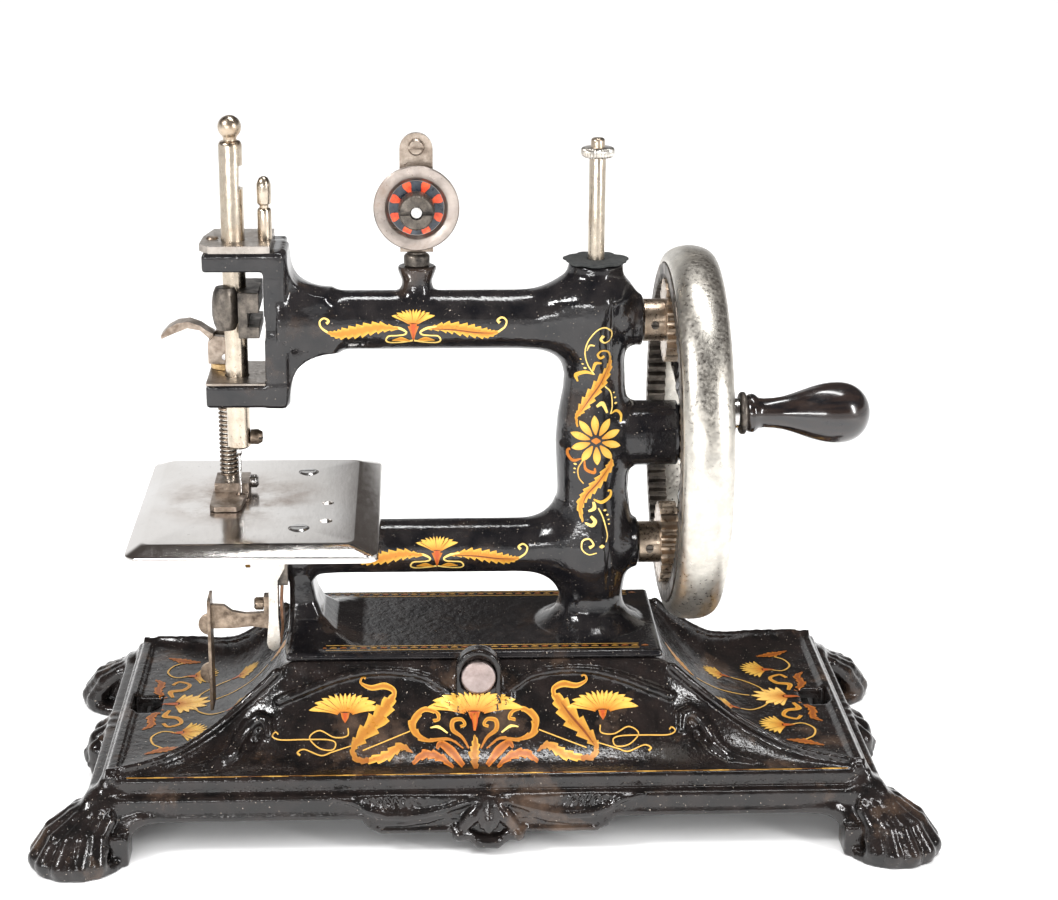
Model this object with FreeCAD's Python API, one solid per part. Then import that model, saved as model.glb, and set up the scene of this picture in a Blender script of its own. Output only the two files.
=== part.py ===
import FreeCAD, Part
import math
import os

# Small cast-iron hand sewing machine on a footed base.
# Millimetres. X runs along the bed (crank at +X), Y to the back, Z up.
# The origin is under the middle of the base, on the surface that the paws stand on.

V = FreeCAD.Vector

# ---- driving dimensions ------------------------------------------------------
PAW_REACH_X = 135.0
PAW_REACH_Y = 72.0
PLINTH_X = 119.8
PLINTH_Y = 57.5
PLINTH_TOP = 19.1
STEP_X = 115.5
STEP_Y = 53.9
STEP_TOP = 23.7
APRON_BOTTOM = 11.5
CAST_WALL = 3.5
TRAY_FLOOR = 24.3
TRAY_END = 113.8
RIM_WIDTH = 3.6
RIM_TOP = 25.5
SLOT_X = 107.0
SLOT_LENGTH = 9.0
SLOT_WIDTH = 12.0

BED_LEFT = -61.0
BED_RIGHT = 54.5
BED_Y = 26.5
BED_TOP = 52.0
BED_THICK = 2.5
BOLTS = ((-50, -16), (-50, 16), (46, -16), (46, 16))

PILLAR_X = 34.0
LOWER_ARM_Z = 77.5
LOWER_ARM_R = 8.5
UPPER_ARM_Z = 150.5
UPPER_ARM_R = 9.0
LEG_LEFT = -62.0
HEAD_FRONT = -10.0
HEAD_BACK = 16.0
HEAD_WALL_LEFT = -66.0
HEAD_WALL_RIGHT = -60.0
LUG_LEFT = -84.0
TOP_LUG = (167.4, 173.0)
LOWER_LUG = (125.5, 132.5)
COLLAR_TOP = 168.0

MODULE = 1.0
RING_TEETH = 96
PINION_TEETH = 24
WHEEL_Z = 114.0
GEAR_OFFSET = MODULE * (RING_TEETH - PINION_TEETH) / 2
ARM_SHAFT_Z = WHEEL_Z + GEAR_OFFSET
HOOK_SHAFT_Z = WHEEL_Z - GEAR_OFFSET
WHEEL_LEFT = 56.0
WHEEL_RIGHT = 71.0
WHEEL_R = 57.9
RIM_INNER_R = 52.5
BOSS_END = 60.0
LATCH_X = -2.4
LATCH_Z = 47.1
SPOKES = 5
CRANK_Y = -43.0
CRANK_Z = 133.0

ARM_SHAFT_R = 3.0
HOOK_SHAFT_R = 2.5
RUNNING = 0.05
NEEDLE_BAR_X = -75.2
NEEDLE_BAR_R = 3.5
NEEDLE_BAR_BOTTOM = 110.2
CRANK_PIN_RADIUS = 7.5
PIN_RISE = 2.7
PRESSER_X = -79.0
PRESSER_Y = 9.0
PRESSER_R = 2.5
LIFTER_PIVOT_Z = 137.8
LIFTER_SOLE = 2.1
LIFT = 2.2
LIFT_TURN = 55.0

PLATE_TOP = 93.0
PLATE_FLAT = (-102.0, -38.7)
PLATE_EDGE = (-106.5, -32.0)
PLATE_FLAT_Y = 40.3
PLATE_EDGE_Y = 46.0
PLATE_SCREWS = ((-55.4, 27.2), (-56.1, -26.7))

TENSION_X = -20.2
TENSION_Z = 185.6


# ---- shape helpers -----------------------------------------------------------
def box(x0, x1, y0, y1, z0, z1):
    return Part.makeBox(x1 - x0, y1 - y0, z1 - z0, V(x0, y0, z0))


def cyl_x(x0, x1, y, z, r):
    return Part.makeCylinder(r, x1 - x0, V(x0, y, z), V(1, 0, 0))


def cyl_y(y0, y1, x, z, r):
    return Part.makeCylinder(r, y1 - y0, V(x, y0, z), V(0, 1, 0))


def cyl_z(z0, z1, x, y, r):
    return Part.makeCylinder(r, z1 - z0, V(x, y, z0), V(0, 0, 1))


def face_of(points):
    return Part.Face(Part.makePolygon(points + [points[0]]))


def turned_z(profile, x, y):
    """Solid of revolution about a vertical axis from (radius, z) points."""
    face = face_of([V(x + r, y, z) for r, z in profile])
    return face.revolve(V(x, y, 0), V(0, 0, 1), 360)


def turned_x(profile, y, z):
    """Solid of revolution about an axis along X from (x, radius) points."""
    face = face_of([V(x, y, z + r) for x, r in profile])
    return face.revolve(V(0, y, z), V(1, 0, 0), 360)


def turned_y(profile, x, z):
    """Solid of revolution about an axis along Y from (y, radius) points."""
    face = face_of([V(x, y, z + r) for y, r in profile])
    return face.revolve(V(x, 0, z), V(0, 1, 0), 360)


def slab_xz(points, y0, y1):
    return face_of([V(x, y0, z) for x, z in points]).extrude(V(0, y1 - y0, 0))


def slab_yz(points, x0, x1):
    return face_of([V(x0, y, z) for y, z in points]).extrude(V(x1 - x0, 0, 0))


def fuse(shapes):
    whole = shapes[0].fuse(shapes[1:]) if len(shapes) > 1 else shapes[0]
    return whole.removeSplitter()


def mirrored(shape, axis):
    return shape.mirror(V(0, 0, 0), axis)


def arc(cx, cz, r, start, end, steps):
    """Points along an arc, angles in degrees."""
    angles = [math.radians(start + (end - start) * i / steps) for i in range(steps + 1)]
    return [(cx + r * math.cos(a), cz + r * math.sin(a)) for a in angles]


def web(cx, cz, sx, sz, r, y0, y1):
    """Concave corner web that fills the inside corner at (cx, cz) and runs on into both members."""
    into = 4.0
    centre = (cx + sx * r, cz + sz * r)
    xs = sorted((cx - sx * into, centre[0]))
    zs = sorted((cz - sz * into, centre[1]))
    block = box(xs[0], xs[1], y0, y1, zs[0], zs[1])
    return block.cut(cyl_y(y0 - 1, y1 + 1, centre[0], centre[1], r))


def slotted_head(x, y, z, r, height, slot=0.8):
    """Round screw head with a slot, its top facing up."""
    head = turned_z([(0, z), (r, z), (r, z + height * 0.6), (r * 0.8, z + height), (0, z + height)], x, y)
    return head.cut(box(x - r - 1, x + r + 1, y - slot / 2, y + slot / 2, z + height * 0.5, z + height + 1))


# ---- base casting ------------------------------------------------------------
# Stations along each end: share of the way from bed to tray end, ridge y, ridge z, sweep z.
END_STATIONS = (
    (0.00, 26.3, 49.5, 48.5),
    (0.08, 27.3, 45.0, 41.0),
    (0.17, 28.0, 40.0, 35.0),
    (0.25, 29.0, 36.5, 31.0),
    (0.36, 32.5, 32.0, 27.5),
    (0.50, 39.0, 29.0, 25.0),
    (0.63, 45.0, 27.5, TRAY_FLOOR),
    (0.77, 48.5, 26.3, TRAY_FLOOR),
    (1.00, 52.0, 25.6, TRAY_FLOOR),
)


def section(x, ridge_y, ridge_z, sweep_z, inset):
    """Closed YZ outline of the mound at one station; inset shrinks it for the hollow."""
    foot_y = STEP_Y - inset
    foot_z = STEP_TOP - inset
    crest_y = max(ridge_y - inset, 4)
    crest_z = ridge_z - 1.6 * inset
    floor_z = sweep_z - 1.1 * inset
    if inset:
        crest_z = min(crest_z, floor_z)
    reach = foot_y - crest_y
    rise = crest_z - foot_z
    front = [
        (foot_y, STEP_TOP - 5 - 2 * inset),
        (foot_y, foot_z),
        (crest_y + 0.62 * reach, foot_z + 0.14 * rise),
        (crest_y + 0.28 * reach, foot_z + 0.45 * rise),
        (crest_y, crest_z),
        (crest_y - 1.4, crest_z),
        (crest_y - 2.6, floor_z),
    ]
    half = [V(x, -y, z) for y, z in front]
    other = [V(x, y, z) for y, z in reversed(front)]
    return Part.makePolygon(half + other + [half[0]])


def mound(inset):
    end = TRAY_END - inset
    stations = []
    for share, y, z, sweep in reversed(END_STATIONS):
        stations.append((BED_LEFT - share * (end + BED_LEFT), y, z, sweep))
    for share, y, z, sweep in END_STATIONS:
        stations.append((BED_RIGHT + share * (end - BED_RIGHT), y, z, sweep))
    wires = [section(x, y, z, sweep, inset) for x, y, z, sweep in stations]
    return Part.makeLoft(wires, True, True)


def paw():
    """Front right paw: a leg that sweeps out from the plinth corner to a splayed foot."""
    levels = (
        (18.0, 112.0, 50.0, 9.0),
        (11.0, 117.0, 54.5, 8.0),
        (6.5, 120.0, 57.0, 10.0),
        (3.0, 121.3, 58.3, 12.8),
        (0.0, PAW_REACH_X - 13.5, PAW_REACH_Y - 13.5, 13.5),
    )
    wires = []
    for z, x, y, r in levels:
        points = [V(x + r * math.cos(math.radians(22.5 + 45 * i)) / math.cos(math.radians(22.5)),
                    -y + r * math.sin(math.radians(22.5 + 45 * i)) / math.cos(math.radians(22.5)), z)
                  for i in range(8)]
        wires.append(Part.makePolygon(points + [points[0]]))
    return Part.makeLoft(wires, True, True)


def apron_drop():
    """Lower middle of the front apron with the shell boss at its centre."""
    edge = [(-46, 15), (-42, 9.5), (-34, 7.5), (-13, 7.0), (-9, 4.0), (-4, 2.6)]
    outline = edge + [(-x, z) for x, z in reversed(edge)]
    drop = slab_xz(outline, -PLINTH_Y, -PLINTH_Y + CAST_WALL)
    shell = turned_y([(-PLINTH_Y - 2.5, 0), (-PLINTH_Y - 2.5, 4), (-PLINTH_Y + 1, 6.5), (-PLINTH_Y + 1, 0)], 0, 10)
    return fuse([drop, shell])


def side_lobe():
    """Leaf boss in the middle of the end apron."""
    inner = [V(PLINTH_X - 3, y, z) for y, z in ((-15, 17), (15, 17), (12, 9), (-12, 9))]
    outer = [V(128.5, y, z) for y, z in ((-7, 14), (7, 14), (5, 5), (-5, 5))]
    wires = [Part.makePolygon(w + [w[0]]) for w in (inner, outer)]
    return Part.makeLoft(wires, True, True)


def front_arch():
    """Upright arch-topped boss in the middle of the front slope, with a seat for its disc."""
    left, right = LATCH_X - 6.9, LATCH_X + 6.9
    outline = [(left, 27)] + arc(LATCH_X, LATCH_Z + 1.9, 6.9, 180, 0, 12) + [(right, 27)]
    boss = slab_xz(outline, -34.5, -27.5)
    return boss.cut(cyl_y(-35.5, -32.5, LATCH_X, LATCH_Z, 5.5))


def base_casting():
    plinth = box(-PLINTH_X, PLINTH_X, -PLINTH_Y, PLINTH_Y, APRON_BOTTOM, PLINTH_TOP)
    step = box(-STEP_X, STEP_X, -STEP_Y, STEP_Y, 15, STEP_TOP)
    shapes = [plinth, step, mound(0.0)]
    for side in (-1, 1):
        x0, x1 = sorted((side * (TRAY_END - RIM_WIDTH), side * TRAY_END))
        shapes.append(box(x0, x1, -STEP_Y, STEP_Y, STEP_TOP - 1, RIM_TOP))
    drop = apron_drop()
    lobe = side_lobe()
    foot = paw()
    shapes += [drop, mirrored(drop, V(0, 1, 0)), lobe, mirrored(lobe, V(1, 0, 0))]
    shapes += [foot, mirrored(foot, V(1, 0, 0)), mirrored(foot, V(0, 1, 0))]
    shapes.append(mirrored(mirrored(foot, V(1, 0, 0)), V(0, 1, 0)))
    shapes.append(front_arch())
    body = fuse(shapes)
    hollow = box(-PLINTH_X + CAST_WALL, PLINTH_X - CAST_WALL, -PLINTH_Y + CAST_WALL, PLINTH_Y - CAST_WALL,
                 -1, 15.5)
    for sx in (-1, 1):
        for sy in (-1, 1):
            x0, x1 = sorted((sx * 104.5, sx * 130))
            y0, y1 = sorted((sy * 42.5, sy * 70))
            hollow = hollow.cut(box(x0, x1, y0, y1, -2, 16))
    body = body.cut(hollow)
    body = body.cut(mound(CAST_WALL))
    body = body.cut(box(-108, 108, -48, 48, 14, 20.3))
    for side in (-1, 1):
        x = side * SLOT_X
        body = body.cut(box(x - SLOT_LENGTH / 2, x + SLOT_LENGTH / 2, -SLOT_WIDTH / 2, SLOT_WIDTH / 2, 10, 40))
    for x, y in BOLTS:
        body = body.cut(cyl_z(30, 60, x, y, 2.0))
    return body.removeSplitter()


def front_disc():
    profile = [(-35.4, 0), (-35.4, 4.7), (-34.9, 5.3), (-32.5, 5.3), (-32.5, 0)]
    return turned_y(profile, LATCH_X, LATCH_Z)


def frame_bolts():
    """Four bolts that hold the frame's bed plate down from inside the base."""
    ceiling = END_STATIONS[0][3] - 1.1 * CAST_WALL
    solids = []
    for x, y in BOLTS:
        shank = cyl_z(ceiling - 3.2, BED_TOP - 1.0, x, y, 2.0)
        head = cyl_z(ceiling - 3.2, ceiling, x, y, 4.0)
        solids.append(fuse([shank, head]))
    return Part.makeCompound(solids)


# ---- frame casting -----------------------------------------------------------
PILLAR_PROFILE = (
    (0, 50.0), (16.5, 50.0), (16.5, 52.6), (13.0, 54.5), (10.6, 58.0), (9.7, 62.0), (10.6, 67.0), (13.0, 74.0),
    (13.2, 80.0), (12.0, 87.0), (10.9, 96.0), (11.4, 104.0), (11.8, 112.0), (11.2, 120.0), (9.5, 129.0),
    (9.1, 138.0), (10.2, 146.0), (12.6, 154.0), (12.6, 158.5), (10.4, 162.5), (8.2, 164.2),
    (8.2, COLLAR_TOP), (0, COLLAR_TOP),
)


def leg():
    top = [V(x, y, 70) for x, y in ((LEG_LEFT, -8), (-54, -8), (-54, 8), (LEG_LEFT, 8))]
    mid = [V(x, y, 60) for x, y in ((LEG_LEFT, -9.5), (-51.5, -9.5), (-51.5, 9.5), (LEG_LEFT, 9.5))]
    low = [V(x, y, 55) for x, y in ((BED_LEFT, -14), (-46, -14), (-46, 14), (BED_LEFT, 14))]
    foot = [V(x, y, 51) for x, y in ((BED_LEFT, -21), (-40, -21), (-40, 21), (BED_LEFT, 21))]
    wires = [Part.makePolygon(w + [w[0]]) for w in (top, mid, low, foot)]
    post = box(LEG_LEFT, -54, -8, 8, 69, 84)
    return fuse([Part.makeLoft(wires, True, True), post])


def head():
    wall = box(HEAD_WALL_LEFT, HEAD_WALL_RIGHT, HEAD_FRONT, HEAD_BACK, LOWER_LUG[0], TOP_LUG[1])
    top = box(LUG_LEFT, HEAD_WALL_RIGHT, HEAD_FRONT, HEAD_BACK, TOP_LUG[0], TOP_LUG[1])
    low = box(LUG_LEFT, HEAD_WALL_RIGHT, HEAD_FRONT, HEAD_BACK, LOWER_LUG[0], LOWER_LUG[1])
    flare = turned_x([(-61, 0), (-61, 12.0), (-56, 10.4), (-50, 9.4), (-44, 9.0), (-44, 0)], 0, UPPER_ARM_Z)
    under = web(HEAD_WALL_RIGHT, UPPER_ARM_Z - UPPER_ARM_R, 1, -1, 14, -6, 9)
    over = web(HEAD_WALL_RIGHT, UPPER_ARM_Z + UPPER_ARM_R, 1, 1, 12, -6, 9)
    return [wall, top, low, flare, under, over]


def frame_bores(body):
    """Every hole that a shaft, bar, stud or screw runs in."""
    cuts = [
        cyl_x(-63, 60, 0, ARM_SHAFT_Z, ARM_SHAFT_R + RUNNING),
        cyl_x(-67, -62.4, 0, ARM_SHAFT_Z, 9.6),
        cyl_x(-70, 60, 0, HOOK_SHAFT_Z, HOOK_SHAFT_R + RUNNING),
        cyl_x(40, 60, 0, ARM_SHAFT_Z, 4.5),
        cyl_x(40, 60, 0, HOOK_SHAFT_Z, 4.5),
        cyl_x(46, 61, 0, WHEEL_Z, 4.0),
        cyl_z(100, 180, NEEDLE_BAR_X, 0, NEEDLE_BAR_R + RUNNING),
        cyl_z(120, 140, PRESSER_X, PRESSER_Y, PRESSER_R + RUNNING),
        cyl_z(160, 170, PILLAR_X, 0, 2.5),
        cyl_z(162, 170, TENSION_X, 0, 2.0),
    ]
    cuts += [cyl_z(40, BED_TOP - 0.9, x, y, 2.0) for x, y in BOLTS]
    cuts += [cyl_z(80, 95, x, y, 1.6) for x, y in PLATE_SCREWS]
    for cut in cuts:
        body = body.cut(cut)
    return body


def frame_casting():
    shapes = [
        box(BED_LEFT, BED_RIGHT, -BED_Y, BED_Y, BED_TOP - BED_THICK, BED_TOP),
        turned_z(PILLAR_PROFILE, PILLAR_X, 0),
        cyl_x(LEG_LEFT, PILLAR_X, 0, LOWER_ARM_Z, LOWER_ARM_R),
        cyl_x(-61, PILLAR_X, 0, UPPER_ARM_Z, UPPER_ARM_R),
        box(LEG_LEFT, -50, -31, 31, 84.0, 90.0),
        box(LEG_LEFT, -50, -6, 6, 78.0, 90.0),
        leg(),
        web(PILLAR_X - 9.4, UPPER_ARM_Z - UPPER_ARM_R, -1, -1, 17, -6.5, 6.5),
        web(PILLAR_X - 12.0, LOWER_ARM_Z + LOWER_ARM_R, -1, 1, 7, -6, 6),
        web(PILLAR_X - 10.5, LOWER_ARM_Z - LOWER_ARM_R, -1, -1, 6, -6, 6),
        web(-54, LOWER_ARM_Z - LOWER_ARM_R, 1, -1, 6, -6, 6),
        cyl_x(PILLAR_X, BOSS_END, 0, WHEEL_Z, 10.0),
        cyl_x(PILLAR_X, 48.3, 0, ARM_SHAFT_Z, 7.5),
        cyl_x(PILLAR_X, 48.3, 0, HOOK_SHAFT_Z, 7.5),
        turned_z([(0, 150), (5.6, 150), (5.4, 160), (4.5, 162.5), (5.6, 165.5), (5.9, 167.2), (0, 167.2)],
                 TENSION_X, 0),
    ]
    body = fuse(shapes + head())
    return frame_bores(body).removeSplitter()


# ---- work plate and its fittings ---------------------------------------------
def plate_outline(x0, x1, y, z, corner):
    points = []
    for cx, cy, start in ((x1 - corner, y - corner, 0), (x0 + corner, y - corner, 90),
                          (x0 + corner, -y + corner, 180), (x1 - corner, -y + corner, 270)):
        points += [V(px, py, z) for px, py in arc(cx, cy, corner, start, start + 90, 3)]
    return Part.makePolygon(points + [points[0]])


def work_plate():
    """Pressed plate: flat top, bevelled sides and a short turned-down edge."""
    levels = ((PLATE_TOP, PLATE_FLAT, PLATE_FLAT_Y, 3.0), (90.6, PLATE_EDGE, PLATE_EDGE_Y, 4.5),
              (88.5, PLATE_EDGE, PLATE_EDGE_Y, 4.5))
    outer = Part.makeLoft([plate_outline(x[0], x[1], y, z, c) for z, x, y, c in levels], True, True)
    t = 1.4
    inner_levels = ((PLATE_TOP - 1.5, PLATE_FLAT, PLATE_FLAT_Y, 3.0), (89.6, PLATE_EDGE, PLATE_EDGE_Y, 4.5),
                    (87.5, PLATE_EDGE, PLATE_EDGE_Y, 4.5))
    inner = Part.makeLoft([plate_outline(x[0] + t, x[1] - t, y - t, z, c) for z, x, y, c in inner_levels],
                          True, True)
    plate = outer.cut(inner)
    pad = box(LEG_LEFT, -50, -31, 31, 90.0, PLATE_TOP - 1.4)
    plate = fuse([plate, pad])
    plate = plate.cut(cyl_z(85, 95, NEEDLE_BAR_X, 0, 1.8))
    plate = plate.cut(box(-80.6, -78.0, 0.9, 9.2, 85, 95))
    plate = plate.cut(cyl_z(85, 95, -48.2, -3.8, 1.8))
    plate = plate.cut(cyl_z(85, 95, -48.2, -20.5, 1.95))
    for x, y in PLATE_SCREWS:
        plate = plate.cut(cyl_z(85, 95, x, y, 1.6))
        plate = plate.cut(cyl_z(92.0, 95, x, y, 3.25))
    return plate


def plate_screws():
    solids = []
    for x, y in PLATE_SCREWS:
        head = slotted_head(x, y, 92.0, 3.25, 1.4)
        solids.append(fuse([head, cyl_z(85, 92.0, x, y, 1.6)]))
    return Part.makeCompound(solids)


def lug_plate(z0, z1):
    """Nickelled plate screwed on a lug of the head."""
    front = HEAD_FRONT + 0.6
    outline = [(-65.5 + 1.8, front)] + [(LUG_LEFT + 2, front)] + [(LUG_LEFT - 0.9, -5), (LUG_LEFT - 0.5, 5)]
    outline += [(LUG_LEFT + 2, HEAD_BACK), (-65.5 + 1.8, HEAD_BACK)]
    return outline, z0, z1


def head_top_plate():
    outline, z0, z1 = lug_plate(TOP_LUG[1], 175.3)
    plate = face_of([V(x, y, z0) for x, y in outline]).extrude(V(0, 0, z1 - z0))
    plate = plate.cut(cyl_z(170, 178, NEEDLE_BAR_X, 0, NEEDLE_BAR_R + 0.12))
    plate = plate.cut(cyl_z(170, 178, -65.6, 0, 1.5))
    return plate.cut(cyl_z(174.3, 178, -81.5, 2.0, 1.9))


def head_plate_screw():
    return slotted_head(-81.5, 2.0, 174.3, 1.9, 1.5, 0.6)


def lower_lug_plate():
    plate = box(LUG_LEFT, HEAD_WALL_LEFT, HEAD_FRONT, HEAD_BACK, LOWER_LUG[1], LOWER_LUG[1] + 0.8)
    plate = plate.cut(cyl_z(130, 136, NEEDLE_BAR_X, 0, NEEDLE_BAR_R + 0.12))
    return plate.cut(cyl_z(130, 136, PRESSER_X, PRESSER_Y, PRESSER_R + 0.12))


def thread_guide_post():
    return turned_z([(0, 173.5), (1.5, 173.5), (1.5, 175.3), (2.1, 175.3), (2.1, 184.6), (1.4, 185.1), (1.4, 185.9),
                     (2.1, 186.4), (2.1, 192.6), (1.2, 194.4), (0, 194.6)], -65.6, 0)


# ---- spool pin ---------------------------------------------------------------
def spool_pin():
    return turned_z([(0, 160), (2.5, 160), (2.5, 200.3), (2.2, 200.3), (2.2, 205.4), (1.6, 206.0), (0, 206.0)],
                    PILLAR_X, 0)


def spool_pin_nut():
    knurls = 24
    points = []
    for i in range(knurls * 2):
        r = 5.0 if i % 2 else 4.6
        a = math.pi * i / knurls
        points.append(V(PILLAR_X + r * math.cos(a), r * math.sin(a), 200.3))
    body = face_of(points).extrude(V(0, 0, 2.9))
    return body.cut(cyl_z(200, 204, PILLAR_X, 0, 2.2))


def felt_washer():
    disc = turned_z([(2.6, 168.0), (9.2, 168.0), (10.0, 168.6), (10.0, 169.3), (9.2, 169.8), (2.6, 169.8)],
                    PILLAR_X, 0)
    return disc


# ---- thread tension ----------------------------------------------------------
def tension_stem():
    post = turned_z([(0, 162.0), (2.0, 162.0), (2.0, 167.2), (3.9, 167.2), (3.9, 170.8), (2.8, 171.6), (0, 171.6)],
                    TENSION_X, 0)
    return post


def tension_bracket():
    """Flat upright plate with a round top, standing on the stem."""
    outline = [(-4.95, 171.6)] + arc(0, 202.65, 4.95, 180, 0, 12) + [(4.95, 171.6)]
    plate = slab_xz([(TENSION_X + x, z) for x, z in outline], -0.9, 0.9)
    plate = plate.cut(cyl_y(-2, 2, TENSION_X, TENSION_Z, 2.0))
    return plate.cut(cyl_y(-2, 2, TENSION_X, 203.4, 1.3))


def tension_bracket_screw():
    head = turned_y([(-2.4, 0), (-2.4, 2.0), (-1.6, 2.5), (-0.9, 2.5), (-0.9, 1.3), (0.9, 1.3), (0.9, 0)],
                    TENSION_X, 203.4)
    return head.cut(box(TENSION_X - 3, TENSION_X + 3, -3, -1.7, 203.0, 203.8))


def tension_back_disc():
    return turned_y([(-2.6, 2.0), (-2.6, 6.0), (-0.9, 7.8), (-0.9, 2.0)], TENSION_X, TENSION_Z)


def tension_front_disc():
    """Dished disc: flat ring rim round a shallow bowl."""
    return turned_y([(-3.2, 2.0), (-2.6, 2.0), (-2.6, 8.6), (-3.6, 9.4), (-3.6, 12.8), (-4.8, 12.8), (-4.8, 9.2),
                     (-3.4, 8.2)], TENSION_X, TENSION_Z)


def tension_stud():
    return cyl_y(-11.0, 1.8, TENSION_X, TENSION_Z, 2.0)


def tension_nut():
    nut = turned_y([(-12.0, 2.0 + RUNNING), (-12.0, 3.4), (-11.2, 4.2), (-8.0, 4.2), (-7.4, 5.5), (-5.0, 5.5),
                    (-5.0, 2.0 + RUNNING)], TENSION_X, TENSION_Z)
    return nut.cut(box(TENSION_X - 6, TENSION_X + 6, -13, -11.0, TENSION_Z - 0.6, TENSION_Z + 0.6))


# ---- gears, wheel and crank --------------------------------------------------
def tooth_ring(teeth, root_r, tip_r, half_root, half_tip, y, z, start):
    """Closed YZ outline of straight-flanked teeth, widths given as half arcs at root and tip."""
    points = []
    for i in range(teeth):
        middle = start + 2 * math.pi * i / teeth
        for r, half in ((root_r, -half_root), (tip_r, -half_tip), (tip_r, half_tip), (root_r, half_root)):
            a = middle + half / r
            points.append((y + r * math.cos(a), z + r * math.sin(a)))
    return points


def pinion(z, upward):
    """Brass pinion with a plain hub; a tooth points at the ring gear's mesh point."""
    start = math.pi / 2 if upward else -math.pi / 2
    pitch_r = MODULE * PINION_TEETH / 2
    outline = tooth_ring(PINION_TEETH, pitch_r - 1.2, pitch_r + 0.8, 1.02, 0.36, 0, z, start)
    gear = slab_yz(outline, 55.0, 60.5)
    return fuse([gear, cyl_x(48.7, 56.0, 0, z, 6.5)])


def arm_pinion():
    body = pinion(ARM_SHAFT_Z, True).cut(cyl_x(48, 62, 0, ARM_SHAFT_Z, ARM_SHAFT_R))
    return body.cut(cyl_y(-8, -2, 51.8, ARM_SHAFT_Z, 1.2))


def hook_pinion():
    body = pinion(HOOK_SHAFT_Z, False).cut(cyl_x(48, 62, 0, HOOK_SHAFT_Z, HOOK_SHAFT_R))
    return body.cut(cyl_y(-8, -2, 51.8, HOOK_SHAFT_Z, 1.2))


def set_screw(z, shaft_r):
    screw = cyl_y(-7.2, -shaft_r - 0.05, 51.8, z, 1.2)
    return screw.cut(box(50, 54, -8, -6.6, z - 0.3, z + 0.3))


def ring_gear():
    """Internal gear inside the rim: its tooth spaces are centred straight above and below the axle."""
    pitch_r = MODULE * RING_TEETH / 2
    start = math.pi / 2
    spaces = tooth_ring(RING_TEETH, pitch_r - 0.8, pitch_r + 1.15, 1.12, 0.62, 0, WHEEL_Z, start)
    blank = cyl_x(55.6, 61.5, 0, WHEEL_Z, RIM_INNER_R)
    return blank.cut(slab_yz(spaces, 55.0, 62.0))


def wheel_rim():
    middle = (WHEEL_LEFT + WHEEL_RIGHT) / 2
    half = (WHEEL_RIGHT - WHEEL_LEFT) / 2
    crown = [(middle + half * math.cos(math.radians(a)), RIM_INNER_R + 0.9 + 4.5 * math.sin(math.radians(a)))
             for a in range(180, -1, -15)]
    return turned_x([(WHEEL_LEFT, RIM_INNER_R)] + crown + [(WHEEL_RIGHT, RIM_INNER_R)], 0, WHEEL_Z)


def wheel_spider():
    """Hub, tapered spokes and the crank boss on one spoke."""
    angle = math.degrees(math.atan2(CRANK_Z - WHEEL_Z, CRANK_Y))
    spoke = slab_yz([(7.0, WHEEL_Z - 5.0), (52.3, WHEEL_Z - 3.2), (52.3, WHEEL_Z + 3.2), (7.0, WHEEL_Z + 5.0)],
                    62.8, 67.0)
    shapes = [cyl_x(60.3, 69.4, 0, WHEEL_Z, 9.0)]
    for i in range(SPOKES):
        arm = spoke.copy()
        arm.rotate(V(0, 0, WHEEL_Z), V(1, 0, 0), angle + 360 * i / SPOKES)
        shapes.append(arm)
    shapes.append(cyl_x(62.4, 70.0, CRANK_Y, CRANK_Z, 5.6).common(cyl_x(60, 72, 0, WHEEL_Z, RIM_INNER_R - 0.2)))
    body = fuse(shapes)
    body = body.cut(cyl_x(55, 75, 0, WHEEL_Z, 4.0 + RUNNING))
    return body.cut(cyl_x(55, 75, CRANK_Y, CRANK_Z, 2.5))


def wheel_stud():
    return turned_x([(46.0, 0), (46.0, 4.0), (70.6, 4.0), (70.6, 3.0), (75.4, 3.0), (76.0, 2.4), (76.0, 0)],
                    0, WHEEL_Z)


def wheel_nut():
    """Hexagon nut with a flange that keeps the wheel on its stud."""
    points = [(6.5 * math.cos(math.radians(60 * i)), WHEEL_Z + 6.5 * math.sin(math.radians(60 * i)))
              for i in range(6)]
    nut = fuse([slab_yz(points, 70.6, 74.4), cyl_x(69.7, 70.8, 0, WHEEL_Z, 7.5)])
    return nut.cut(cyl_x(69, 76, 0, WHEEL_Z, 3.0)).cut(cyl_x(69, 70.6, 0, WHEEL_Z, 4.0))


def crank_spindle():
    return turned_x([(62.4, 0), (62.4, 2.5), (70.0, 2.5), (70.0, 4.4), (72.6, 4.4), (72.6, 2.5), (105.0, 2.5),
                     (105.6, 1.9), (105.6, 0)], CRANK_Y, CRANK_Z)


def crank_ferrule():
    return turned_x([(72.8, 2.5 + RUNNING), (72.8, 5.6), (73.4, 6.2), (74.6, 6.2), (75.0, 5.4), (75.0, 2.5 + RUNNING)],
                    CRANK_Y, CRANK_Z)


def crank_grip():
    profile = [(75.0, 2.5 + RUNNING), (75.0, 5.2), (77.0, 5.6), (78.6, 4.5), (83.0, 4.6), (88.0, 5.6), (93.0, 7.4),
               (98.0, 8.7), (102.0, 8.9), (106.0, 8.0), (109.4, 5.6), (111.0, 2.4), (111.2, 0), (106.0, 0),
               (106.0, 2.5 + RUNNING)]
    return turned_x(profile, CRANK_Y, CRANK_Z)


# ---- shafts in the arms ------------------------------------------------------
def arm_shaft():
    return cyl_x(-65.8, 61.2, 0, ARM_SHAFT_Z, ARM_SHAFT_R).cut(cyl_y(-4, -2.0, 51.8, ARM_SHAFT_Z, 0.6))


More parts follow.
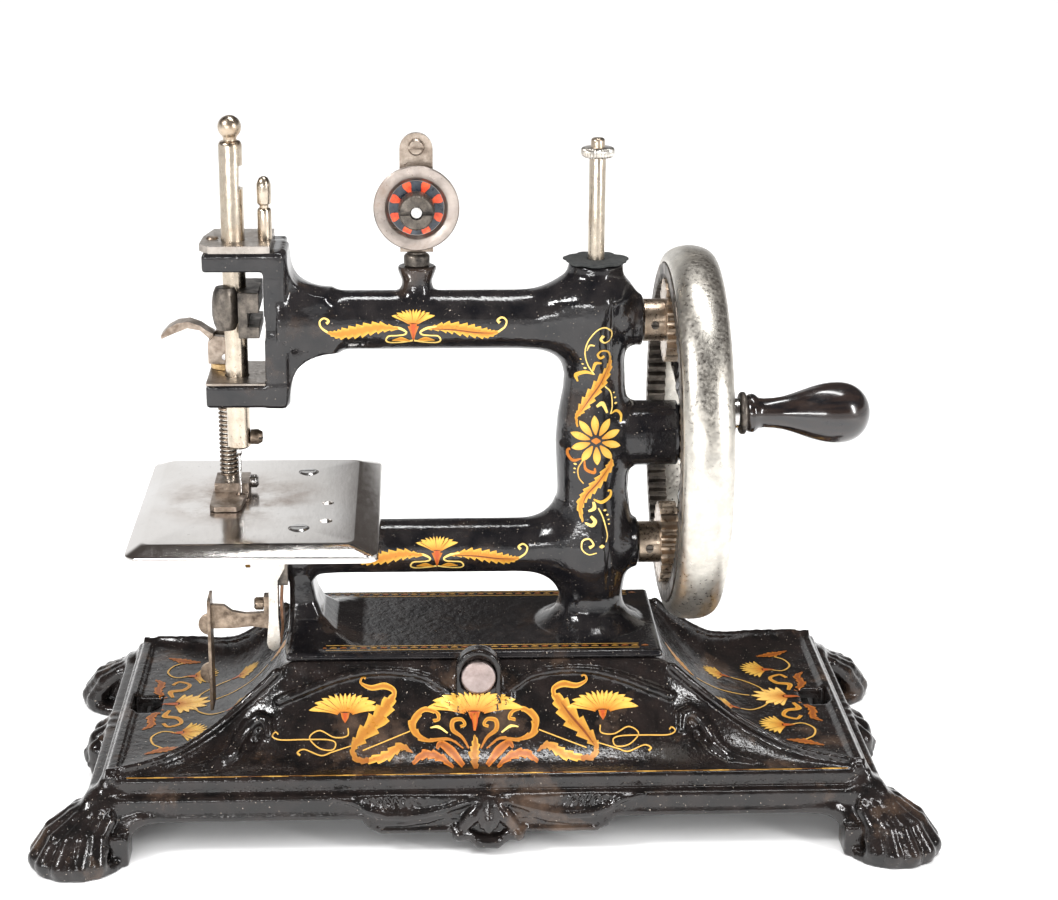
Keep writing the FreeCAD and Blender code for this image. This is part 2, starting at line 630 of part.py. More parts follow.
def crank_disc():
    pin_y = math.sqrt(CRANK_PIN_RADIUS ** 2 - PIN_RISE ** 2)
    disc = cyl_x(-65.8, -62.7, 0, ARM_SHAFT_Z, 9.2).cut(cyl_x(-67, -62, 0, ARM_SHAFT_Z, ARM_SHAFT_R))
    return disc.cut(cyl_x(-67, -62, pin_y, ARM_SHAFT_Z + PIN_RISE, 1.5))


def crank_pin():
    pin_y = math.sqrt(CRANK_PIN_RADIUS ** 2 - PIN_RISE ** 2)
    return cyl_x(-67.0, -62.7, pin_y, ARM_SHAFT_Z + PIN_RISE, 1.5)


def shaft_bush(z, r):
    return cyl_x(40.0, 48.45, 0, z, 4.5).cut(cyl_x(39, 50, 0, z, r + RUNNING))


def hook_shaft():
    return cyl_x(-74.2, 61.2, 0, HOOK_SHAFT_Z, HOOK_SHAFT_R)


def looper_hook():
    """Hub with a curved pointed finger that sweeps past the needle's right side."""
    hub = cyl_x(-74.2, -70.4, 0, HOOK_SHAFT_Z, 4.0)
    outline = arc(0, HOOK_SHAFT_Z, 7.2, 60, 250, 12) + arc(1.0, HOOK_SHAFT_Z + 0.6, 5.4, 240, 75, 10)
    finger = slab_yz(outline, -74.2, -72.6)
    bridge = slab_yz([(-6.2, HOOK_SHAFT_Z - 2), (-1, HOOK_SHAFT_Z - 2), (-1, HOOK_SHAFT_Z + 2),
                      (-6.2, HOOK_SHAFT_Z + 2)], -74.2, -72.6)
    return fuse([hub, finger, bridge]).cut(cyl_x(-76, -70, 0, HOOK_SHAFT_Z, HOOK_SHAFT_R))


def feed_cam():
    cam = cyl_x(-70.2, -67.0, 0, HOOK_SHAFT_Z - 1.0, 4.6)
    return cam.cut(cyl_x(-71, -66, 0, HOOK_SHAFT_Z, HOOK_SHAFT_R))


# ---- needle bar --------------------------------------------------------------
def bar_space(r, z0, z1):
    return cyl_z(z0, z1, NEEDLE_BAR_X, 0, r)


def needle_bar():
    ball = [(3.5 * math.cos(math.radians(a)), 209.3 + 3.5 * math.sin(math.radians(a))) for a in range(-50, 91, 10)]
    profile = [(0, NEEDLE_BAR_BOTTOM), (3.0, NEEDLE_BAR_BOTTOM), (3.5, 110.8), (3.5, 204.4), (2.9, 205.1), (2.0, 205.3),
               (2.0, 206.2)] + ball
    profile[-1] = (0, 212.8)
    bar = turned_z(profile, NEEDLE_BAR_X, 0)
    bar = bar.cut(box(NEEDLE_BAR_X + 2.3, NEEDLE_BAR_X + 5, -5, 5, 191, 198))
    bar = bar.cut(cyl_z(109, 119, NEEDLE_BAR_X, 0, 0.9))
    return bar.cut(cyl_x(NEEDLE_BAR_X, -70, 0, 113.5, 0.7))


def yoke_block():
    """Steel cross slide on the needle bar; its channel along Y faces the crank disc."""
    block = box(-73.7, -67.4, -9, 11, 147.0, 161.0)
    block = block.cut(bar_space(NEEDLE_BAR_R, 140, 170))
    return block.cut(box(-70.9, -67.0, -10, 12, 150.6, 154.8))


def yoke_clamp():
    """Barrel-shaped clamp round the front of the needle bar."""
    barrel = turned_z([(0, 148.7), (2.9, 148.7), (3.6, 150.5), (4.1, 153.2), (4.1, 157.2), (3.6, 160.0),
                       (2.9, 161.7), (0, 161.7)], -77.75, -3.6)
    return barrel.cut(bar_space(NEEDLE_BAR_R, 140, 170)).cut(box(-73.7, -60, -12, 12, 140, 170))


def needle_clamp_screw():
    shank = cyl_x(NEEDLE_BAR_X + 1.0, -71.6, 0, 113.5, 0.7)
    head = turned_x([(-71.6, 0), (-71.6, 2.3), (-69.4, 2.4), (-68.0, 1.6), (-67.8, 0)], 0, 113.5)
    return fuse([shank, head]).cut(box(-69.0, -67, -3, 3, 113.1, 113.9))


def needle():
    return turned_z([(0, 93.2), (0.12, 93.2), (0.45, 95.5), (0.45, 107.5), (0.9, 108.5), (0.9, 118.5), (0, 118.5)],
                    NEEDLE_BAR_X, 0)


# ---- presser bar -------------------------------------------------------------
SPRING_BOTTOM = 97.7
SPRING_TOP = 125.3
SPRING_R = 2.85
SPRING_WIRE_R = 0.36
SPRING_TURNS = 19


def presser_bar():
    bar = turned_z([(0, 95.5), (2.2, 95.5), (2.2, 125.0), (PRESSER_R, 125.4), (PRESSER_R, 139.6), (2.1, 140.1),
                    (0, 140.1)], PRESSER_X, PRESSER_Y)
    return bar.cut(cyl_y(0, 20, PRESSER_X, LIFTER_PIVOT_Z, 1.0))


def presser_spring():
    rise = SPRING_TOP - SPRING_BOTTOM - 2 * SPRING_WIRE_R
    helix = Part.makeHelix(rise / SPRING_TURNS, rise, SPRING_R)
    helix.translate(V(PRESSER_X, PRESSER_Y, SPRING_BOTTOM + SPRING_WIRE_R))
    start = V(PRESSER_X + SPRING_R, PRESSER_Y, SPRING_BOTTOM + SPRING_WIRE_R)
    circle = Part.Wire(Part.makeCircle(SPRING_WIRE_R, start, V(0, 1, 0)))
    return Part.Wire(helix.Edges).makePipeShell([circle], True, True)


def presser_bush():
    bush = cyl_z(LOWER_LUG[1] + 0.8, 135.4, PRESSER_X, PRESSER_Y, 4.9)
    return bush.cut(cyl_z(130, 140, PRESSER_X, PRESSER_Y, PRESSER_R + RUNNING))


def presser_foot():
    """Clamp block on the bar with a flat sole that reaches forward under the needle."""
    block = box(-83.5, -73.0, 2.4, 13.5, 93.2, 97.6)
    outline = [(-84, 4), (-84, -10.5), (-82.4, -12.2), (-75.8, -12.2), (-74.4, -10.5), (-73.0, 4)]
    sole = face_of([V(x, y, 93.2) for x, y in outline]).extrude(V(0, 0, 1.7))
    body = fuse([block, sole])
    body = body.cut(cyl_z(95.5, 99, PRESSER_X, PRESSER_Y, 2.2))
    body = body.cut(cyl_x(-76.2, -72, PRESSER_Y, 96.2, 1.0))
    return body.cut(cyl_z(90, 96, NEEDLE_BAR_X, 0, 1.6)).cut(box(NEEDLE_BAR_X, -72, -1.0, 1.0, 90, 96))


def presser_foot_screw():
    head = turned_x([(-73.0, 0), (-73.0, 2.1), (-70.9, 2.1), (-70.3, 1.4), (-70.3, 0)], PRESSER_Y, 96.2)
    head = head.cut(box(-71.2, -70, 5, 13, 95.85, 96.55))
    return fuse([head, cyl_x(-76.2, -73.0, PRESSER_Y, 96.2, 1.0)])


def presser_lifter():
    """Thumb lever with two cheeks that straddle the presser bar; the cheeks' lower right corner is the cam."""
    px, pz = PRESSER_X, LIFTER_PIVOT_Z
    rise = LIFT / math.radians(LIFT_TURN)
    cam = []
    for i in range(6):
        a = math.radians(LIFT_TURN * i / 5)
        reach = LIFTER_SOLE + rise * a
        cam.append((px + reach * math.sin(a) + rise * math.cos(a), pz - reach * math.cos(a) + rise * math.sin(a)))
    outline = [(px - 5.2, pz - LIFTER_SOLE)] + cam + [(px + 4.9, pz + 1.5), (px - 0.5, pz + 6.4), (px - 3.0, 144.4),
                                                       (px - 5.2, 142.4)]
    front_cheek = slab_xz(outline, 3.95, 6.3)
    back_cheek = slab_xz(outline, 11.7, 14.0)
    bridge = slab_xz([(px - 5.2, pz - LIFTER_SOLE), (px - 3.6, pz - LIFTER_SOLE), (px - 3.6, 143.7),
                      (px - 5.2, 142.4)], 6.0, 12.0)
    thumb = [(-82.6, 139.5), (-84.0, 143.2), (-86.6, 145.7), (-90.4, 146.4), (-95.0, 144.6), (-98.4, 143.0),
             (-98.6, 144.0), (-96.4, 146.4), (-93.5, 148.0), (-90.0, 148.4), (-86.6, 147.2), (-84.4, 145.6),
             (-82.6, 144.6)]
    lever = slab_xz(thumb, 6.0, 12.0)
    body = fuse([front_cheek, back_cheek, bridge, lever])
    return body.cut(cyl_y(0, 20, px, pz, 1.0 + RUNNING))


def lifter_pin():
    return cyl_y(3.9, 14.2, PRESSER_X, LIFTER_PIVOT_Z, 1.0)


# ---- feed parts under the plate ----------------------------------------------
def lever_block():
    block = box(-64.6, -60.6, -14.0, -9.2, 69.8, 84.0)
    return block.cut(cyl_y(-15, -9, -65.2 + 2.6, 80.0, 1.0))


def stitch_lever():
    """Bright tongue that hangs in front of the leg."""
    outline = [(-64.1, 82.5), (-61.2, 82.5), (-61.4, 76.0), (-63.6, 72.0), (-63.7, 60.0), (-63.2, 52.0), (-63.6, 49.8)]
    outline += [(-65.3, 48.7), (-66.8, 49.6), (-67.4, 51.4), (-66.6, 60.0), (-66.4, 72.0)]
    return slab_xz(outline, -15.8, -14.4).cut(cyl_y(-17, -13, -62.6, 80.0, 1.0 + RUNNING))


def stitch_lever_pin():
    head = cyl_y(-16.6, -15.9, -62.6, 80.0, 1.8)
    return fuse([head, cyl_y(-15.9, -9.2, -62.6, 80.0, 1.0)])


def lever_spring():
    """Thin curved strip behind the tongue, screwed to the leg's side."""
    outer = [(-62.2, 84.0), (-62.2, 70.0), (-62.7, 62.0), (-62.3, 54.0), (-63.2, 48.5)]
    inner = [(x - 0.9, z) for x, z in reversed(outer)]
    return slab_xz(outer + inner, -9.0, -4.0)


def side_bar():
    """Waisted flat bar that rocks on its screw beside the leg."""
    outline = [(-66.6, 60.6), (-66.6, 55.2), (-72.0, 56.0), (-78.0, 55.4), (-84.4, 55.4), (-84.4, 63.2), (-80.5, 63.0),
               (-78.0, 61.0), (-74.0, 60.2), (-70.0, 60.4)]
    bar = slab_xz(outline, -13.2, -11.4)
    eye = box(-68.2, -66.6, -13.8, -10.0, 60.4, 66.0)
    return fuse([bar, eye]).cut(cyl_x(-69, -66, -12.3, 63.3, 1.2 + RUNNING))


def side_bar_screw():
    head = turned_x([(-71.2, 0), (-71.2, 1.5), (-70.6, 2.0), (-68.4, 2.0), (-68.4, 0)], -12.3, 63.3)
    head = head.cut(box(-72, -70.4, -15, -10, 63.0, 63.6))
    boss = cyl_x(-66.3, -63.6, -12.3, 63.3, 1.8)
    arm = box(-65.0, -63.6, -13.4, -9.4, 62.0, 69.8)
    return fuse([head, cyl_x(-68.4, -63.6, -12.3, 63.3, 1.2), boss, arm])


def eared_plate():
    """Thin upright plate at the bar's end with two half-round ears."""
    plate = box(-85.4, -84.4, -17.0, -7.6, 29.5, 66.0)
    shapes = [plate]
    for z in (56.6, 40.4):
        ear = cyl_y(-12.8, -11.8, -85.0, z, 3.6).common(box(-92, -84.6, -20, 0, 20, 80))
        shapes.append(ear)
    return fuse(shapes)


def feed_dog():
    """Toothed bar in the plate slot, on a stem with a follower leg above the cam."""
    points = [(2.3, 91.2)]
    for i in range(5):
        points += [(2.3 + 1.1 * i, 92.0), (2.85 + 1.1 * i, 92.7)]
    points += [(7.8, 92.0), (7.8, 91.2)]
    teeth = slab_yz(points, -80.2, -78.4)
    stem = box(-80.2, -67.0, 2.3, 7.8, 89.6, 91.2)
    leg = box(-70.0, -67.2, 2.3, 5.3, 84.0, 89.6)
    return fuse([teeth, stem, leg])


NODES = {
    "base_casting": base_casting,
    "front_disc": front_disc,
    "frame_bolts": frame_bolts,
    "frame_casting": frame_casting,
    "work_plate": work_plate,
    "plate_screws": plate_screws,
    "head_top_plate": head_top_plate,
    "head_plate_screw": head_plate_screw,
    "lower_lug_plate": lower_lug_plate,
    "thread_guide_post": thread_guide_post,
    "spool_pin": spool_pin,
    "spool_pin_nut": spool_pin_nut,
    "felt_washer": felt_washer,
    "tension_stem": tension_stem,
    "tension_bracket": tension_bracket,
    "tension_bracket_screw": tension_bracket_screw,
    "tension_back_disc": tension_back_disc,
    "tension_front_disc": tension_front_disc,
    "tension_stud": tension_stud,
    "tension_nut": tension_nut,
    "arm_shaft_bush": lambda: shaft_bush(ARM_SHAFT_Z, ARM_SHAFT_R),
    "hook_shaft_bush": lambda: shaft_bush(HOOK_SHAFT_Z, HOOK_SHAFT_R),
    "wheel_stud": wheel_stud,
    "wheel_nut": wheel_nut,
    "wheel_rim": wheel_rim,
    "ring_gear": ring_gear,
    "wheel_spider": wheel_spider,
    "crank_spindle": crank_spindle,
    "crank_ferrule": crank_ferrule,
    "crank_grip": crank_grip,
    "arm_shaft": arm_shaft,
    "arm_pinion": arm_pinion,
    "arm_pinion_screw": lambda: set_screw(ARM_SHAFT_Z, ARM_SHAFT_R),
    "crank_disc": crank_disc,
    "crank_pin": crank_pin,
    "hook_shaft": hook_shaft,
    "hook_pinion": hook_pinion,
    "hook_pinion_screw": lambda: set_screw(HOOK_SHAFT_Z, HOOK_SHAFT_R),
    "looper_hook": looper_hook,
    "feed_cam": feed_cam,
    "feed_dog": feed_dog,
    "needle_bar": needle_bar,
    "yoke_block": yoke_block,
    "yoke_clamp": yoke_clamp,
    "needle_clamp_screw": needle_clamp_screw,
    "needle": needle,
    "presser_bar": presser_bar,
    "presser_spring": presser_spring,
    "presser_bush": presser_bush,
    "presser_foot": presser_foot,
    "presser_foot_screw": presser_foot_screw,
    "presser_lifter": presser_lifter,
    "lifter_pin": lifter_pin,
    "lever_block": lever_block,
    "stitch_lever": stitch_lever,
    "stitch_lever_pin": stitch_lever_pin,
    "lever_spring": lever_spring,
    "side_bar": side_bar,
    "side_bar_screw": side_bar_screw,
    "eared_plate": eared_plate,
}


def main():
    os.makedirs("parts", exist_ok=True)
    for name, build in NODES.items():
        shape = build()
        if not shape.isValid() or not shape.Solids:
            print("CHECK", name, shape.isValid(), len(shape.Solids))
        print(name, len(shape.Solids), round(shape.Volume, 1))
        shape.exportStep(f"parts/{name}.step")


main()
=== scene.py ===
import itertools
import math

import bmesh
import bpy
import numpy as np
from mathutils import Matrix, Vector
from mathutils.bvhtree import BVHTree


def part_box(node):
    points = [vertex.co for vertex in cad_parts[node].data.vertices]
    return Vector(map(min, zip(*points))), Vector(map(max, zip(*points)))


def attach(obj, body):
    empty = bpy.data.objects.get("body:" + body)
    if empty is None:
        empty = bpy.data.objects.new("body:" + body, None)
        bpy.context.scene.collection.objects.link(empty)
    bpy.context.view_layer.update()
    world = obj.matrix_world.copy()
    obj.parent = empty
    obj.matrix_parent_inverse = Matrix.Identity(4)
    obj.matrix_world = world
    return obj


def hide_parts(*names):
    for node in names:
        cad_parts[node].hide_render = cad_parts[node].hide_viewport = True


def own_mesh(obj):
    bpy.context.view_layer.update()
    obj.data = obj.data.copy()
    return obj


# Small cast-iron hand sewing machine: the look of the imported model.
# Shapes are worked out in millimetres and scaled to metres when a mesh is made.

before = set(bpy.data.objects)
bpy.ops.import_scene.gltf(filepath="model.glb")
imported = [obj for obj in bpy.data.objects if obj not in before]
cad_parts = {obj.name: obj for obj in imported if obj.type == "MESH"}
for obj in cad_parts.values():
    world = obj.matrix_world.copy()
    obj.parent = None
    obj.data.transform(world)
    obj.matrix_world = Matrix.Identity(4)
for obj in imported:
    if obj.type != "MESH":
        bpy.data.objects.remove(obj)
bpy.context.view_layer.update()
MM = 0.001


def span(node):
    """Lowest and highest corner of a CAD node in millimetres."""
    lo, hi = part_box(node)
    return [c / MM for c in lo], [c / MM for c in hi]


def middle(node):
    lo, hi = span(node)
    return [(a + b) / 2 for a, b in zip(lo, hi)]


# ---- sizes taken from the frame ----------------------------------------------
PILLAR_X = middle("spool_pin")[0]
ARM_Z = middle("arm_shaft")[2]
HOOK_Z = middle("hook_shaft")[2]
WHEEL_Z = middle("wheel_rim")[2]
WHEEL_X = middle("wheel_rim")[0]
CRANK_Y, CRANK_Z = middle("crank_ferrule")[1:]
NEEDLE_X = middle("needle_bar")[0]
PRESSER_X, PRESSER_Y = middle("presser_bar")[:2]
TENSION_X, TENSION_Z = middle("tension_nut")[0], middle("tension_nut")[2]
POST_X = middle("thread_guide_post")[0]
TOP_LUG_TOP = span("head_top_plate")[0][2]
LOWER_LUG_TOP = span("lower_lug_plate")[0][2]
HEAD_FRONT, HEAD_BACK = span("lower_lug_plate")[0][1], span("lower_lug_plate")[1][1]
LUG_LEFT, WALL_LEFT = span("lower_lug_plate")[0][0], span("lower_lug_plate")[1][0]
PLATE_TOP = span("work_plate")[1][2]
BED_BOTTOM = span("frame_casting")[0][2]
BASE_LO, BASE_HI = span("base_casting")
LATCH_X, LATCH_Z = middle("front_disc")[0], middle("front_disc")[2]
LATCH_R = (span("front_disc")[1][0] - span("front_disc")[0][0]) / 2

# ---- sizes of the castings ---------------------------------------------------
BED_LEFT, BED_RIGHT, BED_Y = -61.0, 54.5, 26.5
BED_TOP = BED_BOTTOM + 2.5
PLINTH_X, PLINTH_Y, PLINTH_TOP = 119.8, 57.5, 19.1
STEP_X, STEP_Y, STEP_TOP = 115.5, 53.9, 23.7
TRAY_END, RIM_WIDTH, RIM_TOP = 113.8, 3.6, 25.5
TRAY_FLOOR = 24.3
CAST_WALL = 3.5
SLOT_X, SLOT_LENGTH, SLOT_WIDTH = 107.0, 9.0, 12.0
PAW_X, PAW_Y, PAW_R = BASE_HI[0] - 13.5, BASE_HI[1] - 13.5, 13.5
WALL_RIGHT = WALL_LEFT + 6.0


# ==== materials ===============================================================
class Look:
    """Shader nodes of one material or world; each method adds one pattern and gives back its output."""

    def __init__(self, owner):
        owner.use_nodes = True
        self.owner = owner
        self.nodes, self.links = owner.node_tree.nodes, owner.node_tree.links

    def set(self, key, value):
        """Give an input of the material's surface a plain value or another node's output."""
        self.feed(self.nodes["Principled BSDF"].inputs[key], value)

    def feed(self, socket, value):
        if isinstance(value, bpy.types.NodeSocket):
            self.links.new(value, socket)
        elif isinstance(value, tuple):
            socket.default_value = (*value, 1)
        else:
            socket.default_value = value

    def place(self, kind="Object"):
        return self.nodes.new("ShaderNodeTexCoord").outputs[kind]

    def noise(self, scale, detail=5.0, rough=0.55, stretch=None):
        """Noise in object space; stretch scales the axes for brushed or turned marks."""
        tex = self.nodes.new("ShaderNodeTexNoise")
        for key, value in (("Scale", scale), ("Detail", detail), ("Roughness", rough)):
            self.feed(tex.inputs[key], value)
        out = self.place()
        if stretch:
            mapping = self.nodes.new("ShaderNodeMapping")
            mapping.inputs["Scale"].default_value = stretch
            self.feed(mapping.inputs["Vector"], out)
            out = mapping.outputs["Vector"]
        self.feed(tex.inputs["Vector"], out)
        return tex.outputs["Fac"]

    def cells(self, scale):
        tex = self.nodes.new("ShaderNodeTexVoronoi")
        self.feed(tex.inputs["Scale"], scale)
        self.feed(tex.inputs["Vector"], self.place())
        return tex.outputs["Distance"]

    def ramp(self, fac, stops):
        node = self.nodes.new("ShaderNodeValToRGB")
        self.feed(node.inputs["Fac"], fac)
        for _ in stops[2:]:
            node.color_ramp.elements.new(0.5)
        for element, (place, colour) in zip(node.color_ramp.elements, stops):
            element.position = place
            element.color = (*colour, 1)
        return node.outputs["Color"]

    def levels(self, fac, low, high, out_low, out_high):
        node = self.nodes.new("ShaderNodeMapRange")
        keys = ("Value", "From Min", "From Max", "To Min", "To Max")
        for key, value in zip(keys, (fac, low, high, out_low, out_high)):
            self.feed(node.inputs[key], value)
        return node.outputs["Result"]

    def mix(self, fac, first, second):
        node = self.nodes.new("ShaderNodeMix")
        node.data_type = "RGBA"
        for key, value in (("Factor", fac), (6, first), (7, second)):
            self.feed(node.inputs[key], value)
        return node.outputs[2]

    def combine(self, operation, first, second):
        node = self.nodes.new("ShaderNodeMath")
        node.operation = operation
        self.feed(node.inputs[0], first)
        self.feed(node.inputs[1], second)
        return node.outputs[0]

    def bump(self, parts, distance):
        """parts are (height, strength); they are stacked from coarse to fine."""
        normal = None
        for height, strength in parts:
            node = self.nodes.new("ShaderNodeBump")
            for key, value in (("Strength", strength), ("Distance", distance), ("Height", height)):
                self.feed(node.inputs[key], value)
            if normal:
                self.feed(node.inputs["Normal"], normal)
            normal = node.outputs["Normal"]
        self.set("Normal", normal)


def new_look(name):
    return Look(bpy.data.materials.new(name))


def japan(name, rub_and_sheen, speck_and_glint, rough, pits, dark=(0.0045, 0.0045, 0.0055), light=(0.016, 0.014, 0.014)):
    """Black japanned iron: glossy and orange-peeled, with brown patches that are partly rubbed wear and
    partly painted sheen, and light specks that are partly chips and dust and partly painted glints.
    """
    look = new_look(name)
    patches = look.noise(45, 6, 0.62)
    wear_and_sheen = look.levels(patches, 0.56, 0.74, 0.0, rub_and_sheen)
    tone = look.ramp(look.noise(160, 4), [(0.35, dark), (0.7, light)])
    # Brown patches: partly rubbed wear, partly a painted sheen that stands in for brownish reflections.
    colour = look.mix(wear_and_sheen, tone, (0.125, 0.078, 0.052))
    # Light specks: partly chips and dust, partly painted glints.
    fine = look.noise(1500, 2, 0.7)
    specks_and_glints = look.levels(fine, 0.70, 0.745, 0.0, speck_and_glint)
    look.set("Base Color", look.mix(specks_and_glints, colour, (0.42, 0.36, 0.30)))
    gloss = look.noise(300, 5, 0.6)
    look.set("Roughness", look.levels(gloss, 0.3, 0.75, rough * 0.7, rough * 1.7))
    look.set("IOR", 1.5)
    peel = look.noise(420, 3)
    pit = look.levels(look.cells(900), 0.0, 0.28, 0.0, 1.0)
    cast = look.noise(110, 3)
    look.bump([(cast, 0.12 + pits), (peel, 0.14 + pits), (pit, pits)], 0.0006)
    return look.owner


def nickel(name, tarnish, rough, bright=(0.78, 0.76, 0.72), stain=(0.30, 0.22, 0.14), stretch=None, rust=0.0):
    """Old nickel plate: soft shine with clouds of brown tarnish and pin-prick rust."""
    look = new_look(name)
    look.set("Metallic", 1.0)
    cloud = look.noise(70, 8, 0.65)
    tint = look.ramp(look.noise(260, 6, 0.6), [(0.3, tuple(c * 0.72 for c in bright)), (0.62, bright)])
    colour = look.mix(look.levels(cloud, 0.5, 0.74, 0.0, tarnish), tint, stain)
    spots = look.levels(look.noise(1300, 3, 0.65), 0.66 + rust, 0.74 + rust, 0.0, min(1.0, 1.6 * tarnish))
    look.set("Base Color", look.mix(spots, colour, (0.10, 0.055, 0.03)))
    grain = look.noise(900, 4, 0.6, stretch)
    look.set("Roughness", look.combine("ADD", look.levels(grain, 0.3, 0.7, rough * 0.6, rough * 1.3),
                                       look.levels(cloud, 0.5, 0.74, 0.0, 0.25 * tarnish)))
    look.bump([(look.noise(330, 3), 0.10), (grain, 0.10), (spots, 0.15)], 0.0003)
    return look.owner


def plate_metal(name, spot):
    """Work plate: nickel with a faint haze, brown smudges around the needle hole and pin-prick rust."""
    look = new_look(name)
    look.set("Metallic", 1.0)
    reach = look.nodes.new("ShaderNodeVectorMath")
    reach.operation = "DISTANCE"
    reach.inputs[1].default_value = spot
    look.feed(reach.inputs[0], look.place())
    near = look.levels(reach.outputs["Value"], 0.006, 0.030, 1.0, 0.0)
    cloud = look.noise(55, 7, 0.6)
    smudge = look.combine("MULTIPLY", near, look.levels(cloud, 0.38, 0.62, 0.0, 0.9))
    tint = look.ramp(look.noise(35, 5, 0.5), [(0.3, (0.70, 0.67, 0.64)), (0.7, (0.80, 0.78, 0.76))])
    colour = look.mix(smudge, tint, (0.30, 0.19, 0.12))
    spots = look.levels(look.noise(1100, 3, 0.65), 0.69, 0.75, 0.0, 0.7)
    look.set("Base Color", look.mix(spots, colour, (0.14, 0.08, 0.05)))
    grain = look.noise(700, 4, 0.6, (1, 0.25, 1))
    look.set("Roughness", look.combine("ADD", look.levels(grain, 0.3, 0.7, 0.09, 0.16),
                                       look.levels(smudge, 0.0, 1.0, 0.0, 0.3)))
    look.bump([(look.noise(60, 2), 0.05), (grain, 0.04), (spots, 0.15)], 0.0003)
    return look.owner


def iron(name, dark, light, rough):
    """Bare steel gone brown: mottled, with a dull shine."""
    look = new_look(name)
    look.set("Metallic", 0.9)
    mottle = look.noise(240, 8, 0.68)
    between = tuple((a + b) / 2 for a, b in zip(dark, light))
    look.set("Base Color", look.ramp(mottle, [(0.34, dark), (0.52, between), (0.7, light)]))
    look.set("Roughness", look.levels(mottle, 0.3, 0.7, rough * 1.25, rough * 0.75))
    look.bump([(mottle, 0.2), (look.noise(1400, 3), 0.25)], 0.0003)
    return look.owner


def felt(name):
    look = new_look(name)
    fluff = look.noise(900, 8, 0.75)
    look.set("Base Color", look.ramp(fluff, [(0.3, (0.008, 0.009, 0.01)), (0.7, (0.05, 0.052, 0.05))]))
    look.set("Roughness", look.levels(fluff, 0.2, 0.8, 0.85, 1.0))
    look.bump([(fluff, 0.9)], 0.0008)
    return look.owner


def ebony(name):
    """Glossy black-stained turned wood with faint grain and small dents."""
    look = new_look(name)
    grain = look.noise(60, 6, 0.6, (1.0, 9.0, 9.0))
    look.set("Base Color", look.ramp(grain, [(0.35, (0.004, 0.004, 0.005)), (0.72, (0.022, 0.014, 0.011))]))
    dull = look.noise(220, 5, 0.6)
    look.set("Roughness", look.levels(dull, 0.35, 0.75, 0.10, 0.34))
    look.set("Coat Weight", 0.6)
    look.set("Coat Roughness", 0.08)
    look.bump([(grain, 0.08), (look.noise(90, 3), 0.35)], 0.0005)
    return look.owner


def transfer(name):
    """Gold transfer print: colour comes from the mesh, worn thin in places."""
    look = new_look(name)
    paint = look.nodes.new("ShaderNodeVertexColor")
    paint.layer_name = "paint"
    worn = look.levels(look.noise(900, 6, 0.7), 0.60, 0.74, 0.0, 0.75)
    look.set("Base Color", look.mix(worn, paint.outputs["Color"], (0.03, 0.016, 0.01)))
    look.set("Metallic", 0.25)
    shine = look.noise(500, 4)
    look.set("Roughness", look.levels(shine, 0.3, 0.7, 0.25, 0.45))
    look.bump([(look.noise(1100, 3), 0.12)], 0.0003)
    return look.owner


def enamel(name, dark, light, rough):
    look = new_look(name)
    mottle = look.noise(500, 6, 0.65)
    look.set("Base Color", look.ramp(mottle, [(0.35, dark), (0.65, light)]))
    look.set("Roughness", look.levels(mottle, 0.3, 0.7, rough * 0.8, rough * 1.3))
    look.bump([(mottle, 0.15)], 0.0002)
    return look.owner


FRAME_JAPAN = japan("frame_japan", 0.3, 0.9, 0.10, 0.05)
# The base gets stronger brown patches: rubbed wear and painted sheen.
BASE_JAPAN = japan("base_japan", 0.6, 1.0, 0.15, 0.16, (0.004, 0.0036, 0.0036), (0.014, 0.010, 0.009))
NICKEL = nickel("nickel", 0.6, 0.26, (0.66, 0.63, 0.58))
DISH_NICKEL = nickel("dish_nickel", 0.7, 0.42, (0.46, 0.40, 0.36), (0.26, 0.17, 0.12))
DISC_NICKEL = nickel("disc_nickel", 0.5, 0.5, (0.46, 0.38, 0.36), (0.34, 0.25, 0.22))
WHEEL_NICKEL = nickel("wheel_nickel", 0.3, 0.38, (0.66, 0.63, 0.57), (0.50, 0.43, 0.33), rust=0.1)
LUG_NICKEL = nickel("lug_nickel", 0.7, 0.38, (0.46, 0.42, 0.38), (0.22, 0.16, 0.11))
BAR_NICKEL = nickel("bar_nickel", 0.95, 0.26, (0.60, 0.52, 0.42), (0.27, 0.17, 0.09), (1, 1, 0.2))
STEEL = nickel("bright_steel", 0.4, 0.22, (0.70, 0.69, 0.68), (0.25, 0.18, 0.12))
GEAR_NICKEL = nickel("gear_nickel", 0.8, 0.34, (0.40, 0.32, 0.245), (0.19, 0.115, 0.065))
BROWN_STEEL = iron("brown_steel", (0.06, 0.04, 0.028), (0.42, 0.33, 0.25), 0.42)
DARK_STEEL = iron("dark_steel", (0.035, 0.032, 0.03), (0.22, 0.19, 0.16), 0.45)
PLATE_NICKEL = plate_metal("plate_nickel", (NEEDLE_X * MM, 0.0, PLATE_TOP * MM))
COPPER_BROWN = iron("copper_brown", (0.16, 0.08, 0.045), (0.48, 0.27, 0.17), 0.4)
DULL_NICKEL = iron("dull_nickel", (0.16, 0.12, 0.09), (0.52, 0.44, 0.37), 0.34)
BRASS = iron("aged_brass", (0.26, 0.15, 0.06), (0.72, 0.52, 0.26), 0.34)
FELT = felt("felt")
EBONY = ebony("ebonised_wood")
GOLD = transfer("gold_transfer")
DISH_BLUE = enamel("dish_blue", (0.012, 0.016, 0.022), (0.05, 0.06, 0.075), 0.3)
DISH_RED = enamel("dish_red", (0.45, 0.03, 0.012), (0.8, 0.12, 0.03), 0.35)


# ==== mesh helpers ============================================================
def new_object(name, data):
    obj = bpy.data.objects.new(name, data)
    bpy.context.scene.collection.objects.link(obj)
    return obj


